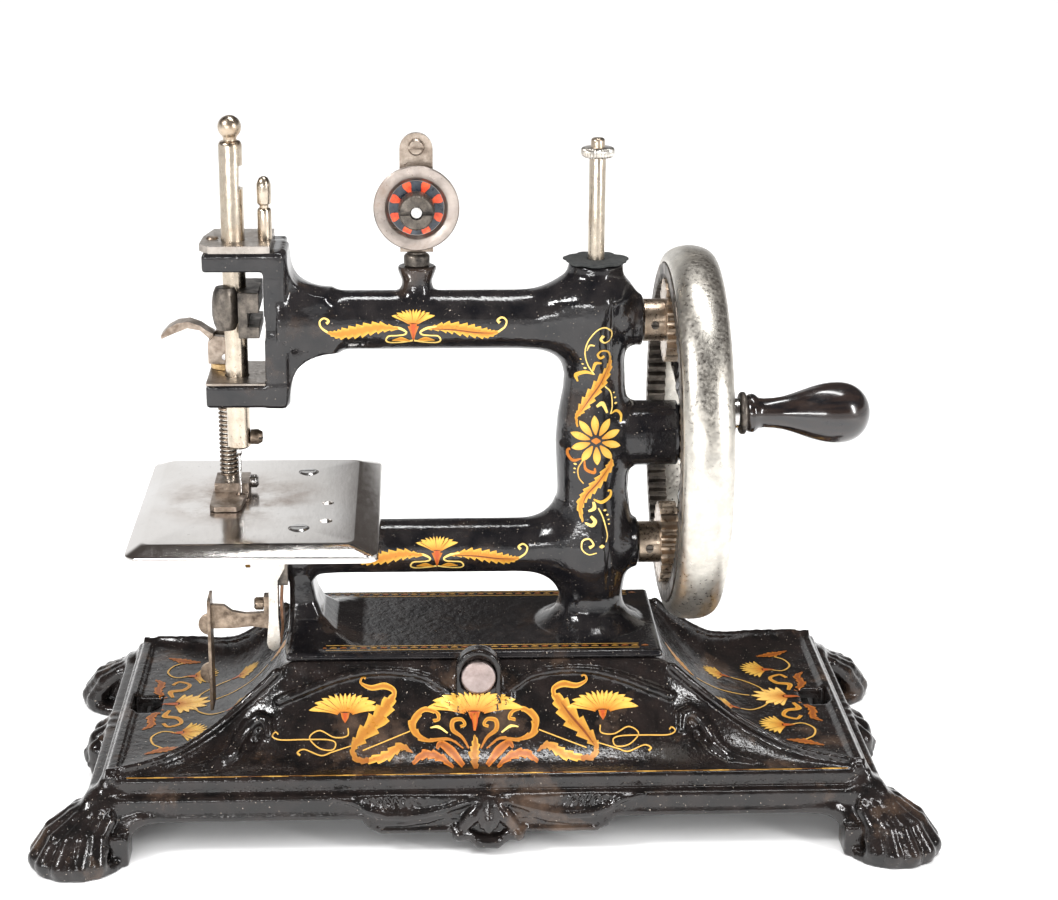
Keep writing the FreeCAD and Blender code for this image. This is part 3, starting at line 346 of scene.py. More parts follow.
def mesh_object(name, verts, faces, mat, body, sharp=40):
    """New piece from millimetre points; it rides on a body."""
    mesh = bpy.data.meshes.new(name)
    mesh.from_pydata([tuple(c * MM for c in v) for v in verts], [], [tuple(f) for f in faces])
    mesh.validate()
    mesh.materials.append(mat)
    obj = new_object(name, mesh)
    soften(obj, sharp)
    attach(obj, body)
    return obj


def soften(obj, sharp=40):
    obj.data.polygons.foreach_set("use_smooth", [True] * len(obj.data.polygons))
    obj.data.set_sharp_from_angle(angle=math.radians(sharp))


def stands_for(obj, nodes):
    for node in nodes:
        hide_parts(node)
    return obj


def lathe(name, axis, centre, profile, mat, body, steps=64, ridges=0, depth=0.0):
    """Turned piece: profile is a closed loop of (along, radius); ridges adds a knurl of that depth."""
    verts, faces = [], []
    count = len(profile)
    other = [a for a in range(3) if a != axis]
    for i in range(steps):
        angle = 2 * math.pi * i / steps
        for along, radius in profile:
            r = radius - (depth * (0.5 + 0.5 * math.cos(ridges * angle)) if ridges else 0.0)
            point = [0.0, 0.0, 0.0]
            point[axis] = along
            point[other[0]] = centre[0] + max(r, 0.0) * math.cos(angle)
            point[other[1]] = centre[1] + max(r, 0.0) * math.sin(angle)
            verts.append(point)
    for i in range(steps):
        j = (i + 1) % steps
        for k in range(count):
            m = (k + 1) % count
            faces.append((i * count + k, i * count + m, j * count + m, j * count + k))
    obj = mesh_object(name, verts, faces, mat, body)
    tidy_mesh(obj)
    return obj


def tidy_mesh(obj):
    """Merge doubled points, drop slivers and turn the faces outwards."""
    join = 0.01 * MM
    mesh = obj.data
    work = bmesh.new()
    work.from_mesh(mesh)
    bmesh.ops.remove_doubles(work, verts=work.verts, dist=join)
    bmesh.ops.dissolve_degenerate(work, edges=work.edges, dist=join / 4)
    bmesh.ops.recalc_face_normals(work, faces=work.faces)
    work.to_mesh(mesh)
    work.free()
    mesh.update()
    soften(obj)


def refined(node, mat, body, width):
    """The CAD piece again with its edges rounded over."""
    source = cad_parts[node]
    mesh = source.data.copy()
    mesh.materials.clear()
    mesh.materials.append(mat)
    obj = new_object(node + "_piece", mesh)
    work = bmesh.new()
    work.from_mesh(mesh)
    bmesh.ops.remove_doubles(work, verts=work.verts, dist=0.00002)
    bmesh.ops.dissolve_limit(work, angle_limit=math.radians(2), verts=work.verts, edges=work.edges)
    work.to_mesh(mesh)
    work.free()
    bevel = obj.modifiers.new("round", "BEVEL")
    bevel.width = width * MM
    bevel.segments = 2
    bevel.limit_method = "ANGLE"
    bevel.angle_limit = math.radians(38)
    bevel.use_clamp_overlap = True
    soften(obj, 35)
    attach(obj, body)
    return stands_for(obj, [node])


def dress(node, mat):
    """A CAD piece keeps its mesh and gets a finished material."""
    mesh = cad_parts[node].data
    mesh.materials.clear()
    mesh.materials.append(mat)
    soften(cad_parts[node], 35)


# ==== castings: distance fields and their skin ================================
def smooth_min(a, b, k):
    if k <= 0:
        return np.minimum(a, b)
    h = np.clip(0.5 + 0.5 * (b - a) / k, 0, 1)
    return b * (1 - h) + a * h - k * h * (1 - h)


class Field:
    """Distance field on a grid, negative inside, joined piece by piece."""

    def __init__(self, lo, hi, cell):
        self.lo = np.array(lo, float)
        self.cell = cell
        shape = np.ceil((np.array(hi) - self.lo) / cell).astype(int) + 1
        self.grid = np.full(shape, 40.0, np.float32)

    def part(self, lo, hi, pad):
        first = np.floor((np.array(lo) - pad - self.lo) / self.cell).astype(int)
        last = np.ceil((np.array(hi) + pad - self.lo) / self.cell).astype(int) + 1
        first = np.maximum(first, 0)
        last = np.minimum(last, self.grid.shape)
        axes = [self.lo[i] + self.cell * np.arange(first[i], last[i]) for i in range(3)]
        view = self.grid[first[0]:last[0], first[1]:last[1], first[2]:last[2]]
        return view, np.meshgrid(*axes, indexing="ij", sparse=True)

    def add(self, lo, hi, shape, blend=0.0):
        view, grid = self.part(lo, hi, max(3.0, 1.5 * blend))
        view[...] = smooth_min(view, shape(*grid), blend)

    def cut(self, lo, hi, shape, blend=0.0):
        view, grid = self.part(lo, hi, max(3.0, 1.5 * blend))
        view[...] = -smooth_min(-view, shape(*grid), blend)

    def skin(self):
        """Surface nets: one point in each cell that the surface crosses."""
        grid = self.grid
        inside = grid < 0
        corners = list(itertools.product((0, 1), repeat=3))
        size = np.array(grid.shape) - 1
        count = np.zeros(size, np.uint8)
        for i, j, k in corners:
            count += inside[i:i + size[0], j:j + size[1], k:k + size[2]]
        mixed = (count > 0) & (count < 8)
        index = np.full(size, -1, np.int32)
        cells_ = np.argwhere(mixed)
        index[mixed] = np.arange(len(cells_))
        total = np.zeros((len(cells_), 3))
        number = np.zeros(len(cells_))
        for a, b in itertools.combinations(corners, 2):
            if sum(abs(p - q) for p, q in zip(a, b)) != 1:
                continue
            first = grid[tuple((cells_ + a).T)]
            second = grid[tuple((cells_ + b).T)]
            cross = (first < 0) != (second < 0)
            share = np.where(cross, first / np.where(first == second, 1, first - second), 0)
            point = np.array(a) + share[:, None] * (np.array(b) - np.array(a))
            total[cross] += point[cross]
            number += cross
        verts = self.lo + self.cell * (cells_ + total / number[:, None])
        faces = []
        for axis in range(3):
            u, v = [a for a in range(3) if a != axis]
            low = [slice(1, -1)] * 3
            low[axis] = slice(0, -1)
            high = list(low)
            high[axis] = slice(1, None)
            step = inside[tuple(low)] != inside[tuple(high)]
            where = np.argwhere(step)
            start = where.copy()
            start[:, u] += 1
            start[:, v] += 1
            outward = inside[tuple(start.T)]
            ring = []
            for du, dv in ((-1, -1), (0, -1), (0, 0), (-1, 0)):
                cell = start.copy()
                cell[:, u] += du
                cell[:, v] += dv
                ring.append(index[tuple(cell.T)])
            quad = np.stack(ring, 1)
            flip = outward if axis != 1 else ~outward
            quad[~flip] = quad[~flip][:, ::-1]
            faces.append(quad)
        faces = np.concatenate(faces)
        return verts, faces[(faces >= 0).all(1)]


def casting(name, field, mat):
    verts, faces = field.skin()
    mesh = bpy.data.meshes.new(name)
    mesh.vertices.add(len(verts))
    mesh.vertices.foreach_set("co", (verts * MM).ravel())
    mesh.loops.add(faces.size)
    mesh.loops.foreach_set("vertex_index", faces.ravel())
    mesh.polygons.add(len(faces))
    mesh.polygons.foreach_set("loop_start", np.arange(0, faces.size, 4))
    mesh.update(calc_edges=True)
    mesh.validate()
    mesh.materials.append(mat)
    mesh.polygons.foreach_set("use_smooth", [True] * len(mesh.polygons))
    obj = new_object(name, mesh)
    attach(obj, "root")
    return obj


def rounded(a, b, r):
    """Distance to a solid with two limits, a and b, whose shared edge is rounded by r."""
    outer = np.sqrt(np.maximum(a, 0) ** 2 + np.maximum(b, 0) ** 2)
    return outer + np.minimum(np.maximum(a, b), 0) - r


def block(lo, hi, r=0.0):
    """Box with rounded edges."""
    centre = [(a + b) / 2 for a, b in zip(lo, hi)]
    half = [(b - a) / 2 - r for a, b in zip(lo, hi)]

    def shape(x, y, z):
        q = [np.abs(c - m) - h for c, m, h in zip((x, y, z), centre, half)]
        outer = np.sqrt(sum(np.maximum(c, 0) ** 2 for c in q))
        return outer + np.minimum(np.maximum(np.maximum(q[0], q[1]), q[2]), 0) - r
    return shape


def add_block(field, lo, hi, r, blend=0.0):
    field.add(lo, hi, block(lo, hi, r), blend)


def turned(axis, centre, places, radii, ends, r=0.5):
    """Round bar whose radius follows a curve along its axis."""
    def shape(*p):
        along = p[axis]
        u, v = [p[a] for a in range(3) if a != axis]
        radius = np.interp(along, places, radii)
        side = np.sqrt((u - centre[0]) ** 2 + (v - centre[1]) ** 2) - radius + r
        cap = np.abs(along - (ends[0] + ends[1]) / 2) - (ends[1] - ends[0]) / 2 + r
        return rounded(side, cap, r)
    return shape


def rod(a, b, ra, rb):
    """Tapered bar with round ends from a to b."""
    a, b = np.array(a, float), np.array(b, float)
    line = b - a
    length2 = float(line @ line)

    def shape(x, y, z):
        t = ((x - a[0]) * line[0] + (y - a[1]) * line[1] + (z - a[2]) * line[2]) / length2
        t = np.clip(t, 0, 1)
        gap = np.sqrt((x - a[0] - t * line[0]) ** 2 + (y - a[1] - t * line[1]) ** 2
                      + (z - a[2] - t * line[2]) ** 2)
        return gap - (ra + t * (rb - ra))
    return shape


def add_rod(field, a, b, ra, rb, blend):
    r = max(ra, rb)
    lo = [min(p, q) - r for p, q in zip(a, b)]
    hi = [max(p, q) + r for p, q in zip(a, b)]
    field.add(lo, hi, rod(a, b, ra, rb), blend)


def eased(places, values, spread=2.0):
    """The same curve with its corners eased, as finely spaced lists."""
    fine = np.arange(places[0], places[-1] + 0.01, 0.25)
    line = np.interp(fine, places, values)
    reach = int(3 * spread / 0.25)
    kernel = np.exp(-0.5 * (np.arange(-reach, reach + 1) * 0.25 / spread) ** 2)
    padded = np.concatenate([np.full(reach, line[0]), line, np.full(reach, line[-1])])
    return fine, np.convolve(padded, kernel / kernel.sum(), "valid")


# ---- frame -------------------------------------------------------------------
PILLAR_CURVE = (
    (50.0, 16.5), (52.6, 16.2), (54.2, 13.0), (57.5, 10.6), (61.5, 9.9), (67.0, 10.8), (73.0, 12.6),
    (80.0, 13.2), (87.0, 12.2), (96.0, 11.0), (104.0, 11.4), (112.0, 11.8), (120.0, 11.2), (129.0, 9.6),
    (138.0, 9.2), (146.0, 10.2), (153.0, 12.4), (158.5, 12.8), (162.0, 10.6), (164.4, 8.3), (168.0, 8.2),
)
FRAME_CELL = 0.65


def frame_body():
    field = Field((LUG_LEFT - 2, -33, BED_BOTTOM - 2), (62, 33, TOP_LUG_TOP + 2), FRAME_CELL)
    upper, lower = ARM_Z + 0.5, HOOK_Z - 0.5
    arm_x, arm_r = eased((-61, -56, -50, -42, 10, 22, 34), (12.2, 10.4, 9.5, 9.0, 9.0, 9.8, 11.0), 1.2)
    field.add((-61, -13, upper - 13), (PILLAR_X, 13, upper + 13),
              turned(0, (0, upper), arm_x, arm_r, (-62, PILLAR_X)))
    low_x, low_r = eased((-62, -54, -46, 12, 22, 34), (9.3, 8.9, 8.4, 8.5, 9.4, 10.5), 1.5)
    field.add((-62, -12, lower - 12), (PILLAR_X, 12, lower + 12),
              turned(0, (0, lower), low_x, low_r, (-62, PILLAR_X)))
    heights, radii = eased([p[0] for p in PILLAR_CURVE], [p[1] for p in PILLAR_CURVE], 0.9)
    field.add((PILLAR_X - 17, -17, 50), (PILLAR_X + 17, 17, 168),
              turned(2, (PILLAR_X, 0), heights, radii, (50, 168), 0.4), 9.0)
    add_block(field, (BED_LEFT, -BED_Y, BED_BOTTOM), (BED_RIGHT, BED_Y, BED_TOP), 0.7, 2.0)
    frame_leg(field)
    frame_head(field, upper)
    for z, r, end in ((WHEEL_Z, 10.0, 60.0), (ARM_Z, 7.5, 48.3), (HOOK_Z, 7.5, 48.3)):
        field.add((PILLAR_X, -r, z - r), (end, r, z + r),
                  turned(0, (0, z), (0, 60), (r + 0.8, r), (PILLAR_X, end), 0.5), 3.0)
    boss_z, boss_r = eased((150, 158, 160, 162.5, 165.5, 167.2), (5.8, 5.6, 5.0, 4.4, 5.6, 6.0), 0.5)
    field.add((TENSION_X - 6, -6, 150), (TENSION_X + 6, 6, 167.2),
              turned(2, (TENSION_X, 0), boss_z, boss_r, (150, 167.2), 0.5), 1.6)
    frame_holes(field)
    obj = casting("frame_body", field, FRAME_JAPAN)
    return stands_for(obj, ["frame_casting"])


def frame_leg(field):
    """Flat-backed leg that flares from the lower arm to the bed, and the pad under the plate."""
    levels_z = (50.0, 52.2, 54.0, 57.5, 62.0, 70.0, 84.0)
    right = (-39.5, -41.5, -46.0, -50.0, -52.0, -53.8, -54.0)
    half_y = (21.5, 19.5, 14.5, 11.0, 9.2, 8.0, 8.0)

    def shape(x, y, z):
        edge = np.interp(z, levels_z, right)
        width = np.interp(z, levels_z, half_y)
        cx = (edge + BED_LEFT + 0.4) / 2
        qx = np.abs(x - cx) - (edge - cx) + 2.5
        qy = np.abs(y) - width + 2.5
        return np.maximum(0.75 * rounded(qx, qy, 2.5), np.abs(z - 67) - 17)
    field.add((-63, -22, 50), (-39, 22, 84), shape, 3.0)
    add_block(field, (-62, -31, 84), (-50, 31, 90), 0.8, 1.5)
    add_block(field, (-62, -6, 78), (-50, 6, 90), 1.0, 2.0)


def frame_head(field, upper):
    """Upright wall with two lugs that carry the bars."""
    low = LOWER_LUG_TOP - 7.0
    top = TOP_LUG_TOP
    add_block(field, (WALL_LEFT, HEAD_FRONT, low), (WALL_RIGHT, HEAD_BACK, top), 0.9, 1.2)
    for z0, z1 in ((top - 5.6, top), (low, LOWER_LUG_TOP)):
        add_block(field, (LUG_LEFT, HEAD_FRONT, z0), (WALL_RIGHT, HEAD_BACK, z1), 0.7, 1.0)
    for edge, r, sign in ((upper - 8.4, 15.0, -1), (upper + 8.4, 13.0, 1)):
        corner = (WALL_RIGHT + r, edge + sign * r)
        lo = (WALL_RIGHT - 3, -7.5, min(edge - 3 * sign, corner[1]))
        hi = (corner[0], 7.5, max(edge - 3 * sign, corner[1]))

        def web(x, y, z, lo=lo, hi=hi, corner=corner, r=r):
            hollow = r - np.sqrt((x - corner[0]) ** 2 + (z - corner[1]) ** 2)
            return np.maximum(block(lo, hi, 2.0)(x, y, z), hollow + 0 * y)
        field.add(lo, hi, web, 4.5)


def frame_holes(field):
    bars = (
        (0, (0, ARM_Z), 3.05, (-63, 60)), (0, (0, ARM_Z), 9.6, (-67, -62.4)),
        (0, (0, HOOK_Z), 2.55, (-70, 60)), (0, (0, ARM_Z), 4.5, (40, 60)), (0, (0, HOOK_Z), 4.5, (40, 60)),
        (0, (0, WHEEL_Z), 4.0, (46, 61)), (2, (NEEDLE_X, 0), 3.6, (100, 180)),
        (2, (PRESSER_X, PRESSER_Y), 2.6, (120, 140)), (2, (PILLAR_X, 0), 2.6, (160, 170)),
        (2, (TENSION_X, 0), 2.1, (162, 170)),
    )
    for axis, centre, r, ends in bars:
        lo = [centre[0] - r, centre[1] - r]
        hi = [centre[0] + r, centre[1] + r]
        lo.insert(axis, ends[0])
        hi.insert(axis, ends[1])
        field.cut(lo, hi, turned(axis, centre, (0, 1), (r, r), ends, 0.0))


frame_obj = frame_body()


# ---- base --------------------------------------------------------------------
# Share of the way from the bed to the tray's end, ridge y, ridge z, sweep z.
END_STATIONS = (
    (0.00, 26.3, 49.5, 48.5), (0.08, 27.3, 45.0, 41.0), (0.17, 28.0, 40.0, 35.0), (0.25, 29.0, 36.5, 31.0),
    (0.36, 32.5, 32.0, 27.5), (0.50, 39.0, 29.0, 25.0), (0.63, 45.0, 27.5, TRAY_FLOOR),
    (0.77, 48.5, 26.3, TRAY_FLOOR), (1.00, 52.0, 25.6, TRAY_FLOOR),
)
BASE_CELL = 0.75


def end_curves(x):
    """Ridge y, ridge z and sweep z at each x, from the stations of both ends."""
    left = [(BED_LEFT - s * (TRAY_END + BED_LEFT), *rest) for s, *rest in reversed(END_STATIONS)]
    right = [(BED_RIGHT + s * (TRAY_END - BED_RIGHT), *rest) for s, *rest in END_STATIONS]
    stations = left + right
    places = [s[0] for s in stations]
    curves = []
    for i in (1, 2, 3):
        fine, line = eased(places, [s[i] for s in stations], 1.6)
        curves.append(np.interp(x, fine, line))
    return curves


def mound_height(x, y):
    """Top surface of the mound between the bed, the front slope and the two trays."""
    ridge_y, ridge_z, sweep_z = end_curves(x)
    far = np.abs(y)
    u = np.clip((far - ridge_y) / (STEP_Y - ridge_y), 0, 1)
    slope = STEP_TOP + (ridge_z - STEP_TOP) * (1 - u) ** 2.2
    inward = np.maximum(ridge_y - far, 0)
    lift = 0.5 * np.exp(-(inward / 2.2) ** 2) + 0.5 * np.exp(-(inward / 7.0) ** 2)
    bowl = sweep_z + (ridge_z - sweep_z) * lift
    height = np.where(far > ridge_y, slope, bowl)
    beyond = np.clip((np.maximum(BED_LEFT - x, x - BED_RIGHT)) / 12, 0, 1)
    lip = 0.9 * np.exp(-((far - ridge_y) / 1.1) ** 2) * np.sqrt(beyond)
    return height + lip


def base_body():
    field = Field((BASE_LO[0] - 4, BASE_LO[1] - 4, -1.5), (BASE_HI[0] + 4, BASE_HI[1] + 4, 58), BASE_CELL)
    bottom = 12.4
    add_block(field, (-PLINTH_X, -PLINTH_Y, bottom), (PLINTH_X, PLINTH_Y, PLINTH_TOP), 1.3)
    lip = (PLINTH_X + 0.6, PLINTH_Y + 0.6)
    add_block(field, (-lip[0], -lip[1], bottom - 1), (lip[0], lip[1], bottom + 1.2), 0.9, 1.0)
    add_block(field, (-STEP_X, -STEP_Y, 15), (STEP_X, STEP_Y, STEP_TOP), 1.0, 0.8)
    inner = (PLINTH_X - CAST_WALL, PLINTH_Y - CAST_WALL)
    field.cut((-inner[0], -inner[1], -3), (inner[0], inner[1], 15.5),
              block((-inner[0], -inner[1], -3), (inner[0], inner[1], 15.5), 1.0))
    field.cut((-108, -48, 12), (108, 48, 26), block((-108, -48, 12), (108, 48, 26), 1.0))

    def shell(x, y, z):
        height = np.minimum(mound_height(x, y), BED_BOTTOM)
        edge = np.maximum(np.abs(x) - TRAY_END, np.abs(y) - STEP_Y)
        return np.maximum(0.7 * np.maximum(z - height, height - CAST_WALL - z), edge)
    field.add((-TRAY_END, -STEP_Y, 18), (TRAY_END, STEP_Y, 50), shell, 0.8)
    for side in (-1, 1):
        x0, x1 = sorted((side * (TRAY_END - RIM_WIDTH), side * TRAY_END))
        add_block(field, (x0, -STEP_Y, STEP_TOP - 1), (x1, STEP_Y, RIM_TOP), 0.6, 0.5)
    for sx, sy in itertools.product((-1, 1), repeat=2):
        paw(field, sx, sy)
        corner_scroll(field, sx, sy)
    for side in (-1, 1):
        apron_motif(field, side)
        end_leaf(field, side)
    arch_boss(field)
    slope_beads(field)
    for side in (-1, 1):
        lo = (side * SLOT_X - SLOT_LENGTH / 2, -SLOT_WIDTH / 2, 10)
        hi = (side * SLOT_X + SLOT_LENGTH / 2, SLOT_WIDTH / 2, 40)
        field.cut(lo, hi, block(lo, hi, 0.6))
    field.cut((BASE_LO[0] - 4, BASE_LO[1] - 4, -4), (BASE_HI[0] + 4, BASE_HI[1] + 4, 0),
              block((BASE_LO[0] - 9, BASE_LO[1] - 9, -9), (BASE_HI[0] + 9, BASE_HI[1] + 9, 0)))
    obj = casting("base_body", field, BASE_JAPAN)
    return stands_for(obj, ["base_casting"])


def chain(field, points, radii, blend):
    for a, b, ra, rb in zip(points, points[1:], radii, radii[1:]):
        add_rod(field, a, b, ra, rb, blend)


def paw(field, sx, sy):
    """Lion's paw at a corner: flutes of hair from the ankle to the toes, and a square block each side."""
    def at(x, y, z):
        return (sx * x, sy * y, z)

    def foot_block(a, b):
        lo = [min(p, q) for p, q in zip(at(*a), at(*b))]
        hi = [max(p, q) for p, q in zip(at(*a), at(*b))]
        add_block(field, lo, hi, 0.9, 1.2)
    spread = PAW_R + 2.4
    ankle = at(113.5, 51.5, 16.5)
    chain(field, [ankle, at(117.5, 55.2, 10.5), at(PAW_X + 0.8, PAW_Y + 0.8, 5.2)], [5.6, 6.8, 8.2], 2.5)
    for i in range(7):
        turn = math.radians(45 + (i - 3) * 26)
        reach = spread - 3.6 - 0.5 * abs(i - 3) ** 1.5 / 3
        out = (math.cos(turn), math.sin(turn))
        brow = at(114.6 + 3.6 * out[0], 52.6 + 3.6 * out[1], 17.0)
        hip = at(116.2 + 7.2 * out[0], 54.2 + 7.2 * out[1], 13.8)
        knee = at(PAW_X - 1.6 + (reach - 2.4) * out[0], PAW_Y - 1.6 + (reach - 2.4) * out[1], 9.6)
        toe = at(PAW_X + reach * out[0], PAW_Y + reach * out[1], 3.2)
        chain(field, [brow, hip, knee, toe], [1.3, 2.2, 2.7, 3.3], 0.6)
        for off in (-8, 8):
            turn2 = math.radians(45 + (i - 3) * 26 + off)
            out2 = (math.cos(turn2), math.sin(turn2))
            high = at(115.2 + 5.4 * out[0], 53.2 + 5.4 * out[1], 15.6)
            low = at(PAW_X - 1.2 + (reach + 0.2) * out2[0], PAW_Y - 1.2 + (reach + 0.2) * out2[1], 7.0)
            add_rod(field, high, low, 0.6, 1.1, 0.35)
    centre = (sx * PAW_X, sy * PAW_Y)
    field.add((centre[0] - 15, centre[1] - 15, 0), (centre[0] + 15, centre[1] + 15, 3.0),
              turned(2, centre, (0, 3.0), (14.4, 13.4), (-0.6, 3.0), 0.8), 1.2)
    foot_block((106.6, 52.5, 0), (112.6, 63.5, 9.4))
    foot_block((112.0, 46.0, 0), (121.5, 53.0, 9.4))
    for start, end in (((95.0, PLINTH_Y - 1.8, 13.6), (109.5, PLINTH_Y - 0.2, 8.6)),
                       ((PLINTH_X - 1.8, 39.0, 13.6), (PLINTH_X - 0.6, 49.5, 8.6))):
        bend = tuple(0.4 * a + 0.6 * b for a, b in zip(start, end))
        bend = (bend[0], bend[1], bend[2] + 1.9)
        chain(field, [at(*start), at(*bend), at(*end)], [1.3, 2.0, 3.0], 1.5)


def on_mound(x, y, up=0.0):
    return (x, y, float(mound_height(np.array([x]), np.array([y]))[0]) + up)


def corner_scroll(field, sx, sy):
    """Hollow horseshoe volute where the ridge turns down on to the slope, with a leaf trailing out."""
    edge = BED_RIGHT if sx > 0 else -BED_LEFT
    x = edge + 10.5

    def along(*points):
        return [on_mound(sx * (x + dx), sy * y, up) for dx, y, up in points]
    hood = along((5.2, 42.0, 0.7), (3.6, 38.0, 0.8), (1.0, 34.8, 0.7), (-2.2, 33.8, 0.7), (-4.8, 35.2, 0.8),
                 (-5.4, 38.2, 0.6))
    pit = along((-0.8, 38.4, 0.6), (0.6, 41.5, 1.2))
    lo = [min(a, b) - 2.4 for a, b in zip(*pit)]
    hi = [max(a, b) + 2.4 for a, b in zip(*pit)]
    field.cut(lo, hi, rod(pit[0], pit[1], 2.3, 1.6))
    chain(field, hood, [1.9, 2.1, 2.1, 2.0, 1.8, 1.3], 0.5)
    leaf = hood[:1] + along((8.5, 45.4, 0.3), (15, 48.0, -0.1), (21, 49.4, -0.5))
    chain(field, leaf, [2.1, 1.9, 1.2, 0.5], 0.9)
    ridge = []
    for i in range(12):
        t = i / 11
        place = sx * (edge + 3 + (TRAY_END - 5 - edge - 3) * t)
        crest = float(end_curves(np.array([place]))[0][0])
        ridge.append(on_mound(place, sy * (crest + 0.4), 0.1 + 0.5 * (1 - t)))
    chain(field, ridge, [1.5 - 0.7 * i / 11 for i in range(12)], 0.5)


def slope_beads(field):
    """Raised wavy bead along the top of the front and back slopes, from the scrolls to the middle arch."""
    for sx, sy in itertools.product((-1, 1), repeat=2):
        reach = BED_RIGHT + 2 if sx > 0 else -BED_LEFT + 2
        near = 8.6 + sx * LATCH_X
        points = []
        for i in range(17):
            t = i / 16
            drop = 3.0 - 1.8 * math.sin(math.pi * min(1.0, t * 1.1)) + 2.4 * t ** 3
            drop += 1.6 * math.exp(-(t / 0.09) ** 2)
            points.append(on_mound(sx * (near + (reach - near) * t), sy * (BED_Y + drop), 0.35))
        chain(field, points, [1.1 + 0.5 * (i / 16) ** 2 for i in range(17)], 0.5)
        curl = [on_mound(sx * (near + dx), sy * (BED_Y + dy), up)
                for dx, dy, up in ((1.6, 5.2, 0.1), (0, 6.4, 0.1), (-0.6, 4.6, 0.2))]
        chain(field, curl, [0.9, 1.0, 0.8], 0.5)


def apron_motif(field, side):
    """Middle of the long apron: a drop with S-shaped ribs, fluted wings and a shell boss of petals."""
    face = PLINTH_Y
    edge_x = (0, 4, 9, 13, 32, 34.5, 37.5, 46)
    edge_z = (4.6, 4.8, 6.2, 7.2, 7.4, 8.8, 12.0, 13.0)

    def drop(x, y, z):
        low = np.interp(np.abs(x), edge_x, edge_z)
        depth = np.abs(np.abs(y) - (face - CAST_WALL / 2)) - CAST_WALL / 2
        wall = np.maximum(np.maximum(0.8 * (low - z), z - 17), np.abs(x) - 44)
        return np.maximum(wall, np.where(y * side > 0, depth, 9.0))
    y0, y1 = sorted((side * (face - CAST_WALL), side * face))
    field.add((-46, y0, 4), (46, y1, 17), drop, 0.6)

    def ribs(points, radii, blend):
        """Chain of (x, proud of the face, z) points."""
        chain(field, [(x, side * (face + proud), z) for x, proud, z in points], radii, blend)
    for sx in (-1, 1):
        wing = (sx * 29, side * (face + 0.6), 16.8)
        field.cut((wing[0] - 14, min(y0, y1) - 1, 13), (wing[0] + 14, max(y0, y1) + 1.4, 19),
                  lambda x, y, z, w=wing: 0.55 * (np.sqrt(((x - w[0]) / 12.5) ** 2 + ((y - w[1]) / 1.7) ** 2
                                                          + ((z - w[2] - 0.4) / 2.9) ** 2) - 1) * 1.7)
        for i in range(10):
            x = sx * (18.5 + 2.3 * i)
            low = float(np.interp(abs(x), (13, 20, 28, 35, 44), (15.6, 14.4, 13.6, 14.8, 17.4)))
            ribs([(x + sx * 1.6, -0.5, 18.2), (x - sx * 0.6, -0.3, low)], [0.5, 0.4], 0.4)
        rolls = (
            (((46, 18.6), (40, 17.2), (35.5, 14.4), (30.5, 12.9), (25, 12.6), (19, 13.2), (12.4, 14.9),
              (6, 17.0), (0, 18.4)), (0.7, 0.9, 1.2, 1.4, 1.4, 1.3, 1.2, 1.1, 1.0), 0.4),
            (((35, 11.0), (31, 10.4), (25, 10.4), (18, 11.2), (12, 13.0)), (0.6, 1.0, 1.1, 0.9, 0.5), 0.3),
            (((37.5, 12.6), (35.2, 9.6), (32, 8.0), (20, 7.9), (12, 7.9)), (0.9, 1.0, 1.0, 0.9, 0.9), 0.4),
        )
        for line, radii, blend in rolls:
            ribs([(sx * x, 0.2, z) for x, z in line], radii, blend)
        ribs([(sx * 1.6, 0.6, 17.6), (sx * 4.6, 1.3, 13.0), (sx * 7.6, 1.0, 9.4)], [1.1, 2.3, 1.9], 0.5)
        ribs([(sx * 5.6, 1.2, 6.6), (sx * 8.8, 1.6, 7.0), (sx * 10.6, 0.6, 8.8)], [1.6, 2.1, 1.0], 0.4)
        ribs([(sx * 1.9, 1.8, 15.6), (sx * 2.2, 2.0, 9.6)], [0.7, 0.8], 0.2)
    ribs([(0, 1.0, 17.6), (0, 2.0, 11.6), (0, 1.8, 8.6)], [0.8, 1.9, 1.5], 0.25)
    ribs([(-4.4, 0.8, 5.2), (-2.2, 1.6, 4.4), (2.2, 1.6, 4.4), (4.4, 0.8, 5.2)], [1.6, 2.0, 2.0, 1.6], 0.4)


def end_leaf(field, side):
    """Three-lobed leaf in the middle of an end apron."""
    for y, reach, r in ((-9.5, 122.0, 3.2), (0.0, 124.6, 3.9), (9.5, 122.0, 3.2)):
        chain(field, [(side * (PLINTH_X - 2), 0.55 * y, 16.5), (side * (PLINTH_X + 2.2), 0.8 * y, 12.0),
                      (side * reach, y, 6.6)], [2.6, r, r * 0.85], 1.2)
        add_rod(field, (side * (PLINTH_X + 1.6), 0.7 * y, 16.0), (side * (reach + 3.0), y, 8.0), 0.7, 0.8,
                0.4)


